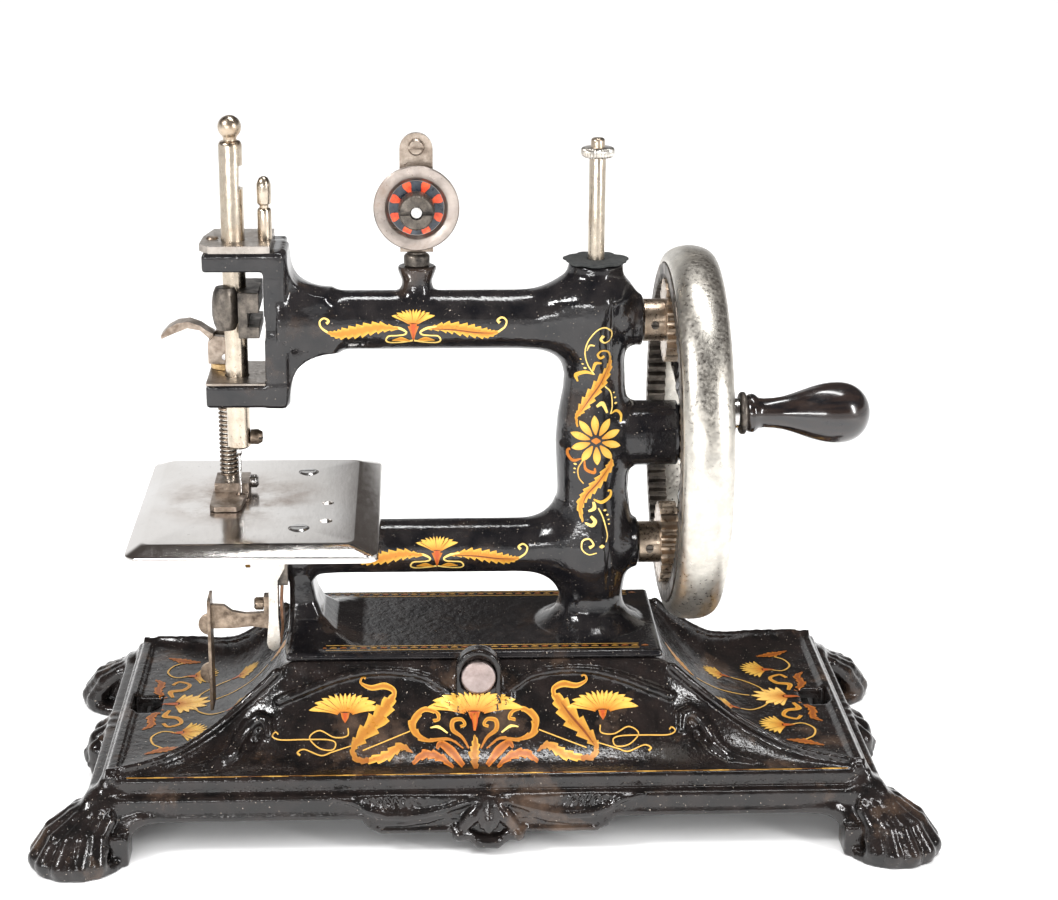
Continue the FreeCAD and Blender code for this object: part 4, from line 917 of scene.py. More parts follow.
def arch_boss(field):
    """Upright round-topped boss on the front slope, with a rolled edge and a seat for its disc."""
    r, edge_r, roll_r = 6.9, 0.8, 0.95
    foot_z, roll_foot_z, axis_z = 29, 33.5, LATCH_Z + 1.9
    mid_y, half_depth, face_y = -31.5, 2.6, -34.0
    seat_y, past_y = -32.5, -37

    def slab(x, y, z):
        reach = np.sqrt((x - LATCH_X) ** 2 + (z - axis_z) ** 2)
        arch = np.where(z > axis_z, reach, np.abs(x - LATCH_X)) - r + edge_r
        depth = np.abs(y - mid_y) - half_depth + edge_r
        return np.maximum(rounded(arch, depth, edge_r), foot_z - z)
    field.add((LATCH_X - r, -35, foot_z), (LATCH_X + r, -28, axis_z + r), slab, 1.4)
    bend = r - 0.9
    arc = [math.pi * (1 - i / 12) for i in range(13)]
    rim = [(LATCH_X + bend * math.cos(a), face_y, axis_z + bend * math.sin(a)) for a in arc]
    rim = [(LATCH_X - bend, face_y, roll_foot_z)] + rim + [(LATCH_X + bend, face_y, roll_foot_z)]
    chain(field, rim, [roll_r] * len(rim), 0.5)
    hole = LATCH_R + 0.3
    field.cut((LATCH_X - hole, past_y, LATCH_Z - hole), (LATCH_X + hole, seat_y, LATCH_Z + hole),
              turned(1, (LATCH_X, LATCH_Z), (0, 1), (hole, hole), (past_y, seat_y), 0.0))


base_obj = base_body()


# ---- wheel and gears ---------------------------------------------------------
def wheel_rim():
    left, right = WHEEL_X - 7.5, WHEEL_X + 7.5
    crown = []
    for i in range(25):
        a = math.pi * (1 - i / 24)
        crown.append((WHEEL_X + 7.5 * math.cos(a), 53.2 + 4.7 * math.sin(a) ** 0.9))
    profile = [(right - 0.5, 52.5), (left + 0.5, 52.5), (left, 52.9)] + crown[1:-1] + [(right, 52.9)]
    rim = lathe("wheel_rim_piece", 0, (0, WHEEL_Z), profile, WHEEL_NICKEL, "handwheel", 160)
    return stands_for(rim, ["wheel_rim"])


def wheel_spider():
    """Cast hub with tapered oval spokes that swell at both ends, and the crank boss on one of them."""
    lo, hi = span("wheel_spider")
    field = Field((lo[0] - 1.5, -54, WHEEL_Z - 54), (hi[0] + 1.5, 54, WHEEL_Z + 54), 0.6)
    first = math.atan2(CRANK_Z - WHEEL_Z, CRANK_Y)
    mid_x, spokes, hub_r, boss_r = 64.9, 5, 9, 5.6
    for i in range(spokes):
        a = first + 2 * math.pi * i / spokes
        points = [(mid_x, r * math.cos(a), WHEEL_Z + r * math.sin(a)) for r in (5, 14, 30, 46, 50.2)]
        chain(field, points, [4.0, 2.1, 1.9, 1.8, 2.1], 1.5)
        for off in (-2.2, 2.2):
            edge = [(mid_x, r * math.cos(a) - w * math.sin(a), WHEEL_Z + r * math.sin(a) + w * math.cos(a))
                    for r, w in ((7, 1.5 * off), (30, 0.9 * off), (50.2, 1.1 * off))]
            chain(field, edge, [1.9, 1.4, 1.5], 1.2)
    field.add((60.3, -hub_r, WHEEL_Z - hub_r), (69.4, hub_r, WHEEL_Z + hub_r),
              turned(0, (0, WHEEL_Z), (60, 70), (hub_r, hub_r), (60.3, 69.4), 0.8), 2.0)
    field.add((62.4, CRANK_Y - boss_r, CRANK_Z - boss_r), (70, CRANK_Y + boss_r, CRANK_Z + boss_r),
              turned(0, (CRANK_Y, CRANK_Z), (60, 70), (boss_r, boss_r), (62.4, 70.0), 0.8), 1.5)
    for centre, r in (((0, WHEEL_Z), 4.08), ((CRANK_Y, CRANK_Z), 2.5)):
        field.cut((55, centre[0] - r, centre[1] - r), (75, centre[0] + r, centre[1] + r),
                  turned(0, centre, (0, 1), (r, r), (55, 75), 0.0))

    def outside(x, y, z):
        return 52.2 - np.sqrt(y ** 2 + (z - WHEEL_Z) ** 2) + 0 * x
    field.cut((lo[0], -54, WHEEL_Z - 54), (hi[0], 54, WHEEL_Z + 54), outside)
    obj = casting("wheel_spider_piece", field, FRAME_JAPAN)
    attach(obj, "handwheel")
    return stands_for(obj, ["wheel_spider"])


def crank_handle():
    lo, hi = span("crank_grip")
    grip = [(lo[0], 2.56), (lo[0], 5.0), (75.6, 5.5), (76.6, 5.7), (77.4, 5.5), (78.4, 4.6), (80.0, 4.3),
            (83.0, 4.45)]
    for i in range(1, 22):
        t = i / 21
        x = 83.0 + (hi[0] - 83.0) * math.sin(t * math.pi / 2) ** 0.92
        swell = 4.45 + 4.5 * math.sin(min(1.0, (x - 83.0) / 18.5) * math.pi / 2) ** 1.6
        cap = math.sqrt(max(0.0, 1 - max(0.0, (x - 101.5) / (hi[0] - 101.5)) ** 2.3))
        grip.append((x, swell * cap))
    grip += [(hi[0] - 5.2, 0.0), (hi[0] - 5.2, 2.56)]
    piece = lathe("crank_grip_piece", 0, (CRANK_Y, CRANK_Z), grip, EBONY, "crank_grip", 96)
    stands_for(piece, ["crank_grip"])
    ferrule = [(72.8, 2.56), (72.8, 5.3), (73.1, 5.9), (73.6, 6.2), (74.3, 6.2), (74.7, 5.9), (75.0, 5.2),
               (75.0, 2.56)]
    piece = lathe("crank_ferrule_piece", 0, (CRANK_Y, CRANK_Z), ferrule, DARK_STEEL, "crank_grip", 72)
    stands_for(piece, ["crank_ferrule"])


# ---- bars and posts ----------------------------------------------------------
def vertical(name, node, x, y, profile, mat, body, steps=64, ridges=0, depth=0.0):
    """Turned upright piece; profile is (radius, z) from the axis at the bottom to the axis at the top."""
    piece = lathe(name, 2, (x, y), [(z, r) for r, z in profile], mat, body, steps, ridges, depth)
    return stands_for(piece, [node])


def thread_post():
    lo, hi = span("thread_guide_post")
    profile = [(0, lo[2]), (1.5, lo[2]), (1.5, 175.3), (2.0, 175.35), (2.15, 175.8), (2.1, 184.3),
               (1.8, 184.9), (1.4, 185.1), (1.4, 185.9), (1.8, 186.1), (2.15, 186.6), (2.15, 192.2),
               (1.8, 193.2), (1.3, 194.1), (0.6, 194.5), (0, hi[2])]
    vertical("thread_post", "thread_guide_post", POST_X, 0, profile, BAR_NICKEL, "root")


def spool_holder():
    lo, hi = span("spool_pin")
    profile = [(0, lo[2]), (2.5, lo[2]), (2.5, 199.8), (2.3, 200.3), (2.1, 200.4), (2.1, 205.2), (1.9, 205.7),
               (1.4, 206.0), (0, hi[2])]
    vertical("spool_pin_piece", "spool_pin", PILLAR_X, 0, profile, BAR_NICKEL, "root")
    lo, hi = span("spool_pin_nut")
    ring = [(2.25, lo[2]), (4.3, lo[2]), (4.9, lo[2] + 0.5), (5.0, lo[2] + 0.9), (5.0, hi[2] - 0.8),
            (4.8, hi[2] - 0.3), (4.2, hi[2]), (2.25, hi[2])]
    vertical("spool_nut", "spool_pin_nut", PILLAR_X, 0, ring, NICKEL, "root", 192, 32, 0.28)


def felt_pad():
    """Felt disc under the spool with an uneven, slightly curled edge."""
    lo, hi = span("felt_washer")
    steps, rings = 96, 9
    bore, edge = 2.65, 9.6
    verts, faces = [], []
    for side in (0, 1):
        for j in range(rings):
            share = j / (rings - 1)
            r0 = bore + (edge - bore) * share
            for i in range(steps):
                a = 2 * math.pi * i / steps
                wave = 0.5 + 0.5 * math.sin(5 * a + 0.7) * math.sin(3 * a)
                r = r0 + (0.35 * math.sin(7 * a) + 0.25 * math.sin(13 * a + 1)) * share ** 3
                z = lo[2] + (1.25 if side else 0.15) + 0.5 * wave * share ** 2
                if j == rings - 1:
                    z += -0.35 if side else 0.3
                verts.append((PILLAR_X + r * math.cos(a), r * math.sin(a), z))

    def at(side, j, i):
        return (side * rings + j) * steps + i % steps
    for i in range(steps):
        for j in range(rings - 1):
            faces.append((at(1, j, i), at(1, j + 1, i), at(1, j + 1, i + 1), at(1, j, i + 1)))
            faces.append((at(0, j, i), at(0, j, i + 1), at(0, j + 1, i + 1), at(0, j + 1, i)))
        for j in (0, rings - 1):
            faces.append((at(0, j, i), at(0, j, i + 1), at(1, j, i + 1), at(1, j, i)))
    obj = mesh_object("felt_pad", verts, faces, FELT, "root")
    tidy_mesh(obj)
    stands_for(obj, ["felt_washer"])


def tension_assembly():
    x, z = TENSION_X, TENSION_Z
    stem = [(0, 162.0), (2.0, 162.0), (2.0, 167.2), (3.5, 167.25), (3.9, 167.7), (3.9, 170.2), (3.6, 170.7),
            (2.9, 171.2), (2.8, 171.6), (0, 171.6)]
    vertical("tension_stem_piece", "tension_stem", x, 0, stem, DARK_STEEL, "root")
    back = [(-2.6, 2.05), (-2.6, 6.0), (-1.9, 7.3), (-0.95, 7.8), (-0.95, 2.05)]
    piece = lathe("tension_back", 1, (x, z), back, DISH_NICKEL, "root", 96)
    stands_for(piece, ["tension_back_disc"])
    dish = [(-3.2, 2.05), (-2.6, 2.05), (-2.6, 8.4), (-3.0, 9.0), (-3.6, 9.4), (-3.7, 9.6), (-3.7, 12.5),
            (-3.9, 12.8), (-4.5, 12.8), (-4.8, 12.5), (-4.8, 9.5), (-4.6, 9.2), (-4.0, 8.7), (-3.5, 8.3)]
    piece = lathe("tension_dish", 1, (x, z), dish, DISH_NICKEL, "root", 128)
    stands_for(piece, ["tension_front_disc"])
    floor = [(-3.34, 2.1), (-3.24, 2.1), (-3.4, 8.2), (-3.52, 8.2)]
    piece = lathe("dish_enamel", 1, (x, z), floor, DISH_BLUE, "root", 96)
    dish_petals(x, z)
    nut = [(-12.0, 2.06), (-12.0, 4.7), (-11.7, 5.1), (-11.2, 5.3), (-7.0, 5.5), (-5.3, 5.5), (-5.0, 5.2),
           (-5.0, 2.06)]
    piece = lathe("tension_nut_turned", 1, (x, z), nut, DARK_STEEL, "tension_nut", 120, 30, 0.16)
    cut_slot(piece, (x, -12.2, z), (12, 2.2, 1.2))
    stands_for(piece, ["tension_nut"])
    stud = [(-11.0, 0.0), (-11.0, 1.6), (-10.6, 2.0), (1.6, 2.0), (1.8, 1.8), (1.8, 0.0)]
    piece = lathe("tension_stud_piece", 1, (x, z), stud, STEEL, "root", 48)
    stands_for(piece, ["tension_stud"])


def dish_petals(x, z):
    """Painted star of small red petals inside the dish."""
    verts, faces = [], []
    for i in range(8):
        a = 2 * math.pi * (i + 0.5) / 8
        base = len(verts)
        for j in range(7):
            t = j / 6
            r = 4.8 + 3.4 * t
            half = 0.5 + 1.0 * math.sin(0.5 * math.pi * t) ** 1.5 - 0.35 * t ** 8
            for s in (-1, 1):
                turn = a + s * half / r
                y = -3.5 - 0.14 * t
                verts.append((x + r * math.cos(turn), y, z + r * math.sin(turn)))
        faces += [(base + 2 * j, base + 2 * j + 1, base + 2 * j + 3, base + 2 * j + 2) for j in range(6)]
    obj = mesh_object("dish_petals", verts, faces, DISH_RED, "root")


def cut_slot(obj, centre, size):
    """Screwdriver slot cut with a box that is then thrown away."""
    mesh = bpy.data.meshes.new("slot_tool")
    work = bmesh.new()
    bmesh.ops.create_cube(work, size=1.0)
    for v in work.verts:
        v.co = Vector([(c + s * p) * MM for c, s, p in zip(centre, size, v.co)])
    work.to_mesh(mesh)
    work.free()
    tool = new_object("slot_tool", mesh)
    cutter = obj.modifiers.new("slot", "BOOLEAN")
    cutter.object = tool
    cutter.operation = "DIFFERENCE"
    cutter.solver = "EXACT"
    depsgraph = bpy.context.evaluated_depsgraph_get()
    result = bpy.data.meshes.new_from_object(obj.evaluated_get(depsgraph))
    obj.modifiers.clear()
    obj.data = result
    bpy.data.objects.remove(tool)
    bpy.data.meshes.remove(mesh)
    soften(obj)


def needle_parts():
    lo, hi = span("needle_bar")
    ball = []
    for degrees in range(-50, 90, 8):
        a = math.radians(degrees)
        ball.append((209.3 + 3.5 * math.sin(a), 3.5 * math.cos(a)))
    foot = [(lo[2], 0.95), (lo[2], 2.7), (lo[2] + 0.4, 3.2), (110.9, 3.5)]
    neck = [(203.8, 3.5), (204.6, 3.3), (205.1, 2.9), (205.3, 2.1), (205.7, 1.95), (206.3, 2.1)]
    profile = foot + neck + ball + [(hi[2], 0), (119, 0), (119, 0.95)]
    bar = lathe("needle_bar_piece", 2, (NEEDLE_X, 0), profile, BAR_NICKEL, "needle_bar", 80)
    cut_slot(bar, (NEEDLE_X + 4.3, 0, 194.5), (4.0, 10, 7.0))
    stands_for(bar, ["needle_bar"])
    refined("yoke_clamp", DARK_STEEL, "needle_bar", 0.3)
    refined("yoke_block", DARK_STEEL, "needle_bar", 0.3)
    refined("needle_clamp_screw", BROWN_STEEL, "needle_bar", 0.2)


def press_spring():
    """Round-wire spring on the presser bar with closed ends."""
    lo, hi = span("presser_spring")
    turns, per, around = 19, 22, 8
    r, wire = (hi[0] - lo[0]) / 2 - 0.36, 0.4
    verts, faces = [], []
    count = turns * per + 1
    for i in range(count):
        a = 2 * math.pi * i / per
        z = lo[2] + wire + (hi[2] - lo[2] - 2 * wire) * i / (count - 1)
        for j in range(around):
            b = 2 * math.pi * j / around
            reach = r + wire * math.cos(b)
            verts.append((PRESSER_X + reach * math.cos(a), PRESSER_Y + reach * math.sin(a),
                          z + wire * math.sin(b)))
    for i in range(count - 1):
        for j in range(around):
            k = (j + 1) % around
            faces.append((i * around + j, i * around + k, (i + 1) * around + k, (i + 1) * around + j))
    last = (count - 1) * around
    faces += [tuple(range(around)), tuple(last + j for j in reversed(range(around)))]
    obj = mesh_object("press_spring", verts, faces, BROWN_STEEL, "presser_bar", 60)
    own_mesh(obj)
    stands_for(obj, ["presser_spring"])


# ---- work plate --------------------------------------------------------------
def plate_outline(x0, x1, y, corner, steps=8):
    points = []
    for cx, cy, start in ((x1 - corner, y - corner, 0), (x0 + corner, y - corner, 90),
                          (x0 + corner, -y + corner, 180), (x1 - corner, -y + corner, 270)):
        for i in range(steps + 1):
            a = math.radians(start + 90 * i / steps)
            points.append((cx + corner * math.cos(a), cy + corner * math.sin(a)))
    return points


def slot_outline(x0, x1, y0, y1, r):
    return [(x, (y0 + y1) / 2 + y) for x, y in plate_outline(x0, x1, (y1 - y0) / 2, r, 4)]


def round_outline(x, y, r, steps=32):
    return [(x + r * math.cos(2 * math.pi * i / steps), y + r * math.sin(2 * math.pi * i / steps))
            for i in range(steps)]


def work_plate():
    """Pressed plate with rounded folds, bevelled sides and a turned-down edge; holes go right through."""
    lo, hi = span("work_plate")
    top = hi[2]
    flat_x, flat_y = (lo[0] + 4.5, hi[0] - 6.7), hi[1] - 5.7
    edge_x, edge_y = (lo[0], hi[0]), hi[1]
    work = bmesh.new()

    def loop(x, y, z, corner):
        return [work.verts.new((px * MM, py * MM, z * MM)) for px, py in plate_outline(*x, y, corner)]

    def between(t):
        return ((flat_x[0] + t * (edge_x[0] - flat_x[0]), flat_x[1] + t * (edge_x[1] - flat_x[1])),
                flat_y + t * (edge_y - flat_y))
    path = [(-0.12, 0.0), (0.0, -0.06), (0.12, -0.30), (0.9, -2.05), (0.975, -2.35), (1.0, -2.8), (1.0, -4.3)]
    rings = []
    for t, drop in path:
        x, y = between(t)
        rings.append(loop(x, y, top + drop, 3.0 + 1.5 * max(t, 0)))
    wall = 1.2
    inner_path = [(1.0, -4.4, 0.4), (1.0, -4.2, wall), (1.0, -3.0, wall), (0.95, -2.6 - wall, wall),
                  (0.0, -0.2 - wall, 0.8), (-0.12, -wall - 0.1, 0.8)]
    for t, drop, inset in inner_path:
        (x0, x1), y = between(t)
        rings.append(loop((x0 + inset, x1 - inset), y - inset, top + drop, 3.0 + 1.5 * max(t, 0)))
    for a, b in zip(rings, rings[1:]):
        for i in range(len(a)):
            j = (i + 1) % len(a)
            work.faces.new((a[i], a[j], b[j], b[i]))
    holes = [round_outline(NEEDLE_X, 0, 1.8), slot_outline(-80.6, -78.0, 0.9, 9.2, 0.5),
             round_outline(-48.2, -3.8, 1.8), round_outline(-48.2, -20.5, 1.95)]
    screws = [(-55.4, 27.2), (-56.1, -26.7)]
    holes += [round_outline(x, y, 3.25, 40) for x, y in screws]
    upper = [[work.verts.new((x * MM, y * MM, top * MM)) for x, y in h] for h in holes]
    lower = [[work.verts.new((x * MM, y * MM, (top - wall - 0.1) * MM)) for x, y in h] for h in holes]
    for a, b in zip(upper, lower):
        for i in range(len(a)):
            j = (i + 1) % len(a)
            work.faces.new((a[i], b[i], b[j], a[j]))
    for ring, rims in ((rings[0], upper), (rings[-1], lower)):
        edges = []
        for rim in [ring] + rims:
            for pair in zip(rim, rim[1:] + rim[:1]):
                edges.append(work.edges.get(pair) or work.edges.new(pair))
        bmesh.ops.triangle_fill(work, edges=edges, use_beauty=True)
    bmesh.ops.recalc_face_normals(work, faces=work.faces)
    mesh = bpy.data.meshes.new("work_plate_piece")
    work.to_mesh(mesh)
    work.free()
    mesh.materials.append(PLATE_NICKEL)
    obj = new_object("work_plate_piece", mesh)
    soften(obj, 30)
    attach(obj, "root")
    stands_for(obj, ["work_plate"])


def plate_pad():
    """Packing block between the frame's bracket and the plate, seen only from below."""
    x0, x1, y, z0, z1 = -62.0, -50.0, 31.0, 90.0, PLATE_TOP - 1.4
    outline = plate_outline(x0, x1, y, 1.2, 4)
    count = len(outline)
    verts = [(px, py, z0) for px, py in outline] + [(px, py, z1) for px, py in outline]
    faces = [(i, (i + 1) % count, count + (i + 1) % count, count + i) for i in range(count)]
    faces += [tuple(reversed(range(count))), tuple(range(count, 2 * count))]
    obj = mesh_object("plate_pad", verts, faces, DARK_STEEL, "root")


wheel_rim()
wheel_spider()
crank_handle()
thread_post()
spool_holder()
felt_pad()
tension_assembly()
needle_parts()
press_spring()
work_plate()
plate_pad()

# ---- small fittings: the CAD shapes with rounded edges ------------------------
FITTINGS = (
    ("front_disc", DISC_NICKEL, "root", "bright_steel", 0.3),
    ("plate_screws", STEEL, "root", "bright_steel", 0.15),
    ("head_top_plate", LUG_NICKEL, "root", "nickel_plate", 0.3),
    ("head_plate_screw", BROWN_STEEL, "root", "bright_steel", 0.12),
    ("lower_lug_plate", LUG_NICKEL, "root", "brass", 0.2),
    ("tension_bracket", DULL_NICKEL, "root", "dark_steel", 0.25),
    ("tension_bracket_screw", DULL_NICKEL, "root", "brass", 0.2),
    ("presser_foot", DULL_NICKEL, "presser_bar", "dark_steel", 0.3),
    ("presser_foot_screw", STEEL, "presser_bar", "bright_steel", 0.15),
    ("presser_lifter", DULL_NICKEL, "presser_lifter", "dark_steel", 0.6),
    ("presser_bush", BRASS, "root", "brass", 0.3), ("lever_block", DARK_STEEL, "root", "dark_steel", 0.4),
    ("stitch_lever", NICKEL, "stitch_lever", "bright_steel", 0.35),
    ("stitch_lever_pin", STEEL, "root", "bright_steel", 0.2),
    ("lever_spring", COPPER_BROWN, "root", "dark_steel", 0.12),
    ("side_bar", BROWN_STEEL, "side_lever", "dark_steel", 0.3),
    ("side_bar_screw", BROWN_STEEL, "root", "dark_steel", 0.2),
    ("eared_plate", BROWN_STEEL, "side_lever", "dark_steel", 0.15),
    ("arm_pinion", GEAR_NICKEL, "arm_shaft", "brass", 0.12),
    ("hook_pinion", GEAR_NICKEL, "hook_shaft", "brass", 0.12),
    ("arm_pinion_screw", DARK_STEEL, "arm_shaft", "dark_steel", 0.1),
    ("hook_pinion_screw", DARK_STEEL, "hook_shaft", "dark_steel", 0.1),
    ("wheel_nut", NICKEL, "root", "bright_steel", 0.3),
    ("ring_gear", DARK_STEEL, "handwheel", "japanned_iron", 0.1),
)
for node, mat, body, slot, width in FITTINGS:
    refined(node, mat, body, width)

PLAIN = (
    ("frame_bolts", DARK_STEEL), ("arm_shaft_bush", BRASS), ("hook_shaft_bush", BRASS), ("wheel_stud", STEEL),
    ("crank_spindle", STEEL), ("arm_shaft", STEEL), ("crank_disc", STEEL), ("crank_pin", STEEL),
    ("hook_shaft", STEEL), ("looper_hook", STEEL), ("feed_cam", BROWN_STEEL), ("feed_dog", STEEL),
    ("needle", STEEL), ("presser_bar", NICKEL), ("lifter_pin", STEEL),
)
for node, mat in PLAIN:
    dress(node, mat)


# ==== gold transfer prints ====================================================
YELLOW, PALE, ORANGE = (0.66, 0.37, 0.05), (0.80, 0.56, 0.16), (0.46, 0.145, 0.012)
BROWN, RED, THREAD = (0.17, 0.042, 0.008), (0.38, 0.045, 0.012), (0.60, 0.34, 0.07)
RUST = (0.30, 0.085, 0.008)
PRINT_LIFT = 0.10


def casting_tree(obj):
    mesh = obj.data
    return BVHTree.FromPolygons([v.co / MM for v in mesh.vertices],
                                [tuple(p.vertices) for p in mesh.polygons])


def curve_points(points, step=0.3):
    """Catmull-Rom line through the points, about evenly divided, with the share of its length."""
    pts = [np.array(p, float) for p in points]
    if len(pts) == 2:
        pts.insert(1, (pts[0] + pts[1]) / 2)
    ends = [2 * pts[0] - pts[1]] + pts + [2 * pts[-1] - pts[-2]]
    line, place = [], []
    for i in range(1, len(ends) - 2):
        a, b, c, d = ends[i - 1:i + 3]
        count = max(2, int(np.linalg.norm(c - b) / step))
        for j in range(count + (i == len(ends) - 3)):
            t = j / count
            line.append(0.5 * (2 * b + (c - a) * t + (2 * a - 5 * b + 4 * c - d) * t ** 2
                               + (3 * b - 3 * c + d - a) * t ** 3))
            place.append(i - 1 + t)
    return np.array(line), np.array(place)


def blend_colour(a, b, t):
    return tuple(p + (q - p) * t for p, q in zip(a, b))


class Print:
    """Shapes drawn in a plane and laid on a casting along one direction."""

    def __init__(self, tree, origin, across, up, weight=1.0):
        self.tree, self.weight = tree, weight
        self.origin = Vector(origin)
        self.across, self.up = Vector(across).normalized(), Vector(up).normalized()
        self.into = self.up.cross(self.across).normalized()
        self.verts, self.faces, self.paint = [], [], []
        self.layer = 0

    def lay(self, u, v):
        start = self.origin + self.across * u + self.up * v - self.into * 60
        hit, normal, _, _ = self.tree.ray_cast(start, self.into, 140)
        if hit is None:
            return None
        return hit + normal * (PRINT_LIFT + 0.02 * (self.layer % 4))

    def strip(self, rows, colours):
        """Rows of points across the strip; a row that misses the metal leaves a gap."""
        base = len(self.verts)
        width = len(rows[0])
        good = []
        for row, shade in zip(rows, colours):
            laid = [self.lay(*p) for p in row]
            good.append(all(p is not None for p in laid))
            self.verts += [p if p is not None else Vector((0, 0, 0)) for p in laid]
            self.paint += shade
        for i in range(len(rows) - 1):
            if not (good[i] and good[i + 1]):
                continue
            for k in range(width - 1):
                a = base + i * width + k
                quad = (a, a + 1, a + width + 1, a + width)
                corners = [self.verts[q] for q in quad]
                if max((p - q).length for p in corners for q in corners) < 6:
                    self.faces.append(quad)
        self.layer += 1

    def ribbon(self, points, widths, edge, vein=None, teeth=0, step=0.3, root=None):
        """Band along a curve of half widths; teeth cuts its edges like a leaf, root tints its start."""
        line, place = curve_points(points, step)
        half = self.weight * np.interp(place, np.linspace(0, place[-1], len(widths)), widths)
        ahead = np.gradient(line, axis=0)
        ahead /= np.maximum(np.linalg.norm(ahead, axis=1), 1e-6)[:, None]
        side = np.stack([-ahead[:, 1], ahead[:, 0]], 1)
        share = place / place[-1]
        vein = vein or edge
        rows, colours = [], []
        for i, (p, n) in enumerate(zip(line, side)):
            left = right = half[i]
            if teeth:
                left *= 0.62 + 0.55 * ((share[i] * teeth) % 1.0)
                right *= 0.62 + 0.55 * ((share[i] * teeth + 0.5) % 1.0)
            rows.append([tuple(p + n * left), tuple(p + n * left * 0.3), tuple(p - n * right * 0.3),
                         tuple(p - n * right)])
            start = 0.9 * max(0.0, 1 - 1.2 * share[i]) if root else 0.0
            outer = blend_colour(edge, root or edge, start)
            inner = blend_colour(outer, vein, 0.8 * (1 - 0.5 * start))
            colours.append([outer, inner, inner, outer])
        self.strip(rows, colours)

    def petal(self, base, tip, half, bend=0.0, edge=YELLOW, root=ORANGE):
        base, tip = np.array(base, float), np.array(tip, float)
        line = tip - base
        normal = np.array([-line[1], line[0]])
        rows, colours = [], []
        for i in range(11):
            t = i / 10
            middle_ = base + line * t + normal * bend * math.sin(math.pi * t)
            width = half * math.sin(math.pi * min(1.0, 0.06 + 0.94 * t) ** 1.25) ** 0.75
            n = normal / np.linalg.norm(normal) * max(width, 0.03)
            rows.append([tuple(middle_ + n), tuple(middle_), tuple(middle_ - n)])
            tone = blend_colour(root, edge, min(1.0, t * 1.7))
            colours.append([tone, blend_colour(tone, PALE, 0.5 * t), tone])
        self.strip(rows, colours)

    def dot(self, u, v, r, colour=PALE):
        self.ribbon([(u - r, v), (u, v), (u + r, v)], [0.25 * r, r, 0.25 * r], colour, step=0.15)

    def lotus(self, base, half_width, height, count, spread=80, edge=YELLOW):
        """Fan of petals over a small red calyx."""
        u, v = base
        tips = []
        for i in range(count):
            a = math.radians(-spread + 2 * spread * i / (count - 1))
            reach = 1 / math.hypot(math.sin(a) / half_width, math.cos(a) / height)
            tips.append((reach * math.sin(a), reach * math.cos(a), a))
        for i, (x, y, a) in enumerate(tips):
            near = tips[i + 1] if i + 1 < count else tips[i - 1]
            gap = math.hypot(x - near[0], y - near[1])
            self.petal((u + 0.2 * x, v + 0.14 * y), (u + x, v + y), 0.38 * gap, 0.13 * math.sin(a), edge)
        for (x, y, _), (x2, y2, _) in zip(tips, tips[1:]):
            groove = [(u + 0.5 * k * (x + x2), v + 0.5 * k * (y + y2)) for k in (0.30, 0.62, 0.90)]
            self.ribbon(groove, [0.03, 0.10, 0.12], BROWN, step=0.6)
        calyx = [(u, v + k * height) for k in (0.1, -0.14, -0.36)]
        self.ribbon(calyx, [0.14 * half_width, 0.10 * half_width, 0.02], ORANGE, RED, step=0.2)

    def finish(self, name):
        obj = mesh_object(name, self.verts, self.faces, GOLD, "root")
        layer = obj.data.color_attributes.new("paint", "FLOAT_COLOR", "POINT")
        layer.data.foreach_set("color", [c for tone in self.paint for c in (*tone, 1.0)])
        keep = bmesh.new()
        keep.from_mesh(obj.data)
        loose = [v for v in keep.verts if not v.link_faces]
        bmesh.ops.delete(keep, geom=loose, context="VERTS")
        keep.to_mesh(obj.data)
        keep.free()


def flip(points, side):
    return [(side * u, v) for u, v in points]


def arm_print(tree, x, z, r, name):
    """Lotus between two long toothed leaves, along the front of an arm."""
    art = Print(tree, (x, -r, z), (1, 0, 0), (0, 0.1, 1))
    art.lotus((0, 0), 8.2, 4.7, 11, 66)
    art.ribbon([(0, -0.2), (0, -2.4), (0, -4.6)], [1.7, 0.8, 0.2], ORANGE, RED)
    for side in (-1, 1):
        art.ribbon(flip([(4.5, -0.9), (10.5, -0.6), (17, -1.7), (22.5, -2.6), (25.7, -2.0)], side),
                   [0.4, 1.8, 2.1, 1.6, 0.3], YELLOW, ORANGE, 11)
        art.ribbon(flip([(5.5, -1.1), (12, -1.4), (19, -2.3), (24, -2.5)], side), [0.1, 0.22, 0.2, 0.05],
                   BROWN)
        art.ribbon(flip([(25.5, -2.1), (27.5, -0.5), (28, 1.3), (26.7, 2.3), (25.3, 1.5), (26, 0.7)], side),
                   [0.35, 0.28, 0.26, 0.26, 0.3, 0.45], PALE, step=0.2)
        art.ribbon(flip([(0.2, -4.7), (3.5, -5.3), (7.0, -5.4), (8.2, -4.6), (7.4, -3.3), (5.0, -3.1),
                         (2.7, -2.8), (2.2, -1.9), (4.2, -0.8), (7, -0.3)], side),
                   [0.3, 0.2, 0.22, 0.25, 0.25, 0.22, 0.25, 0.3, 0.4, 0.2], PALE, step=0.2)
        art.ribbon(flip([(1.0, -4.9), (3.6, -4.3), (6.4, -4.7)], side), [0.15, 0.75, 0.15], YELLOW, ORANGE)
    art.finish(name)


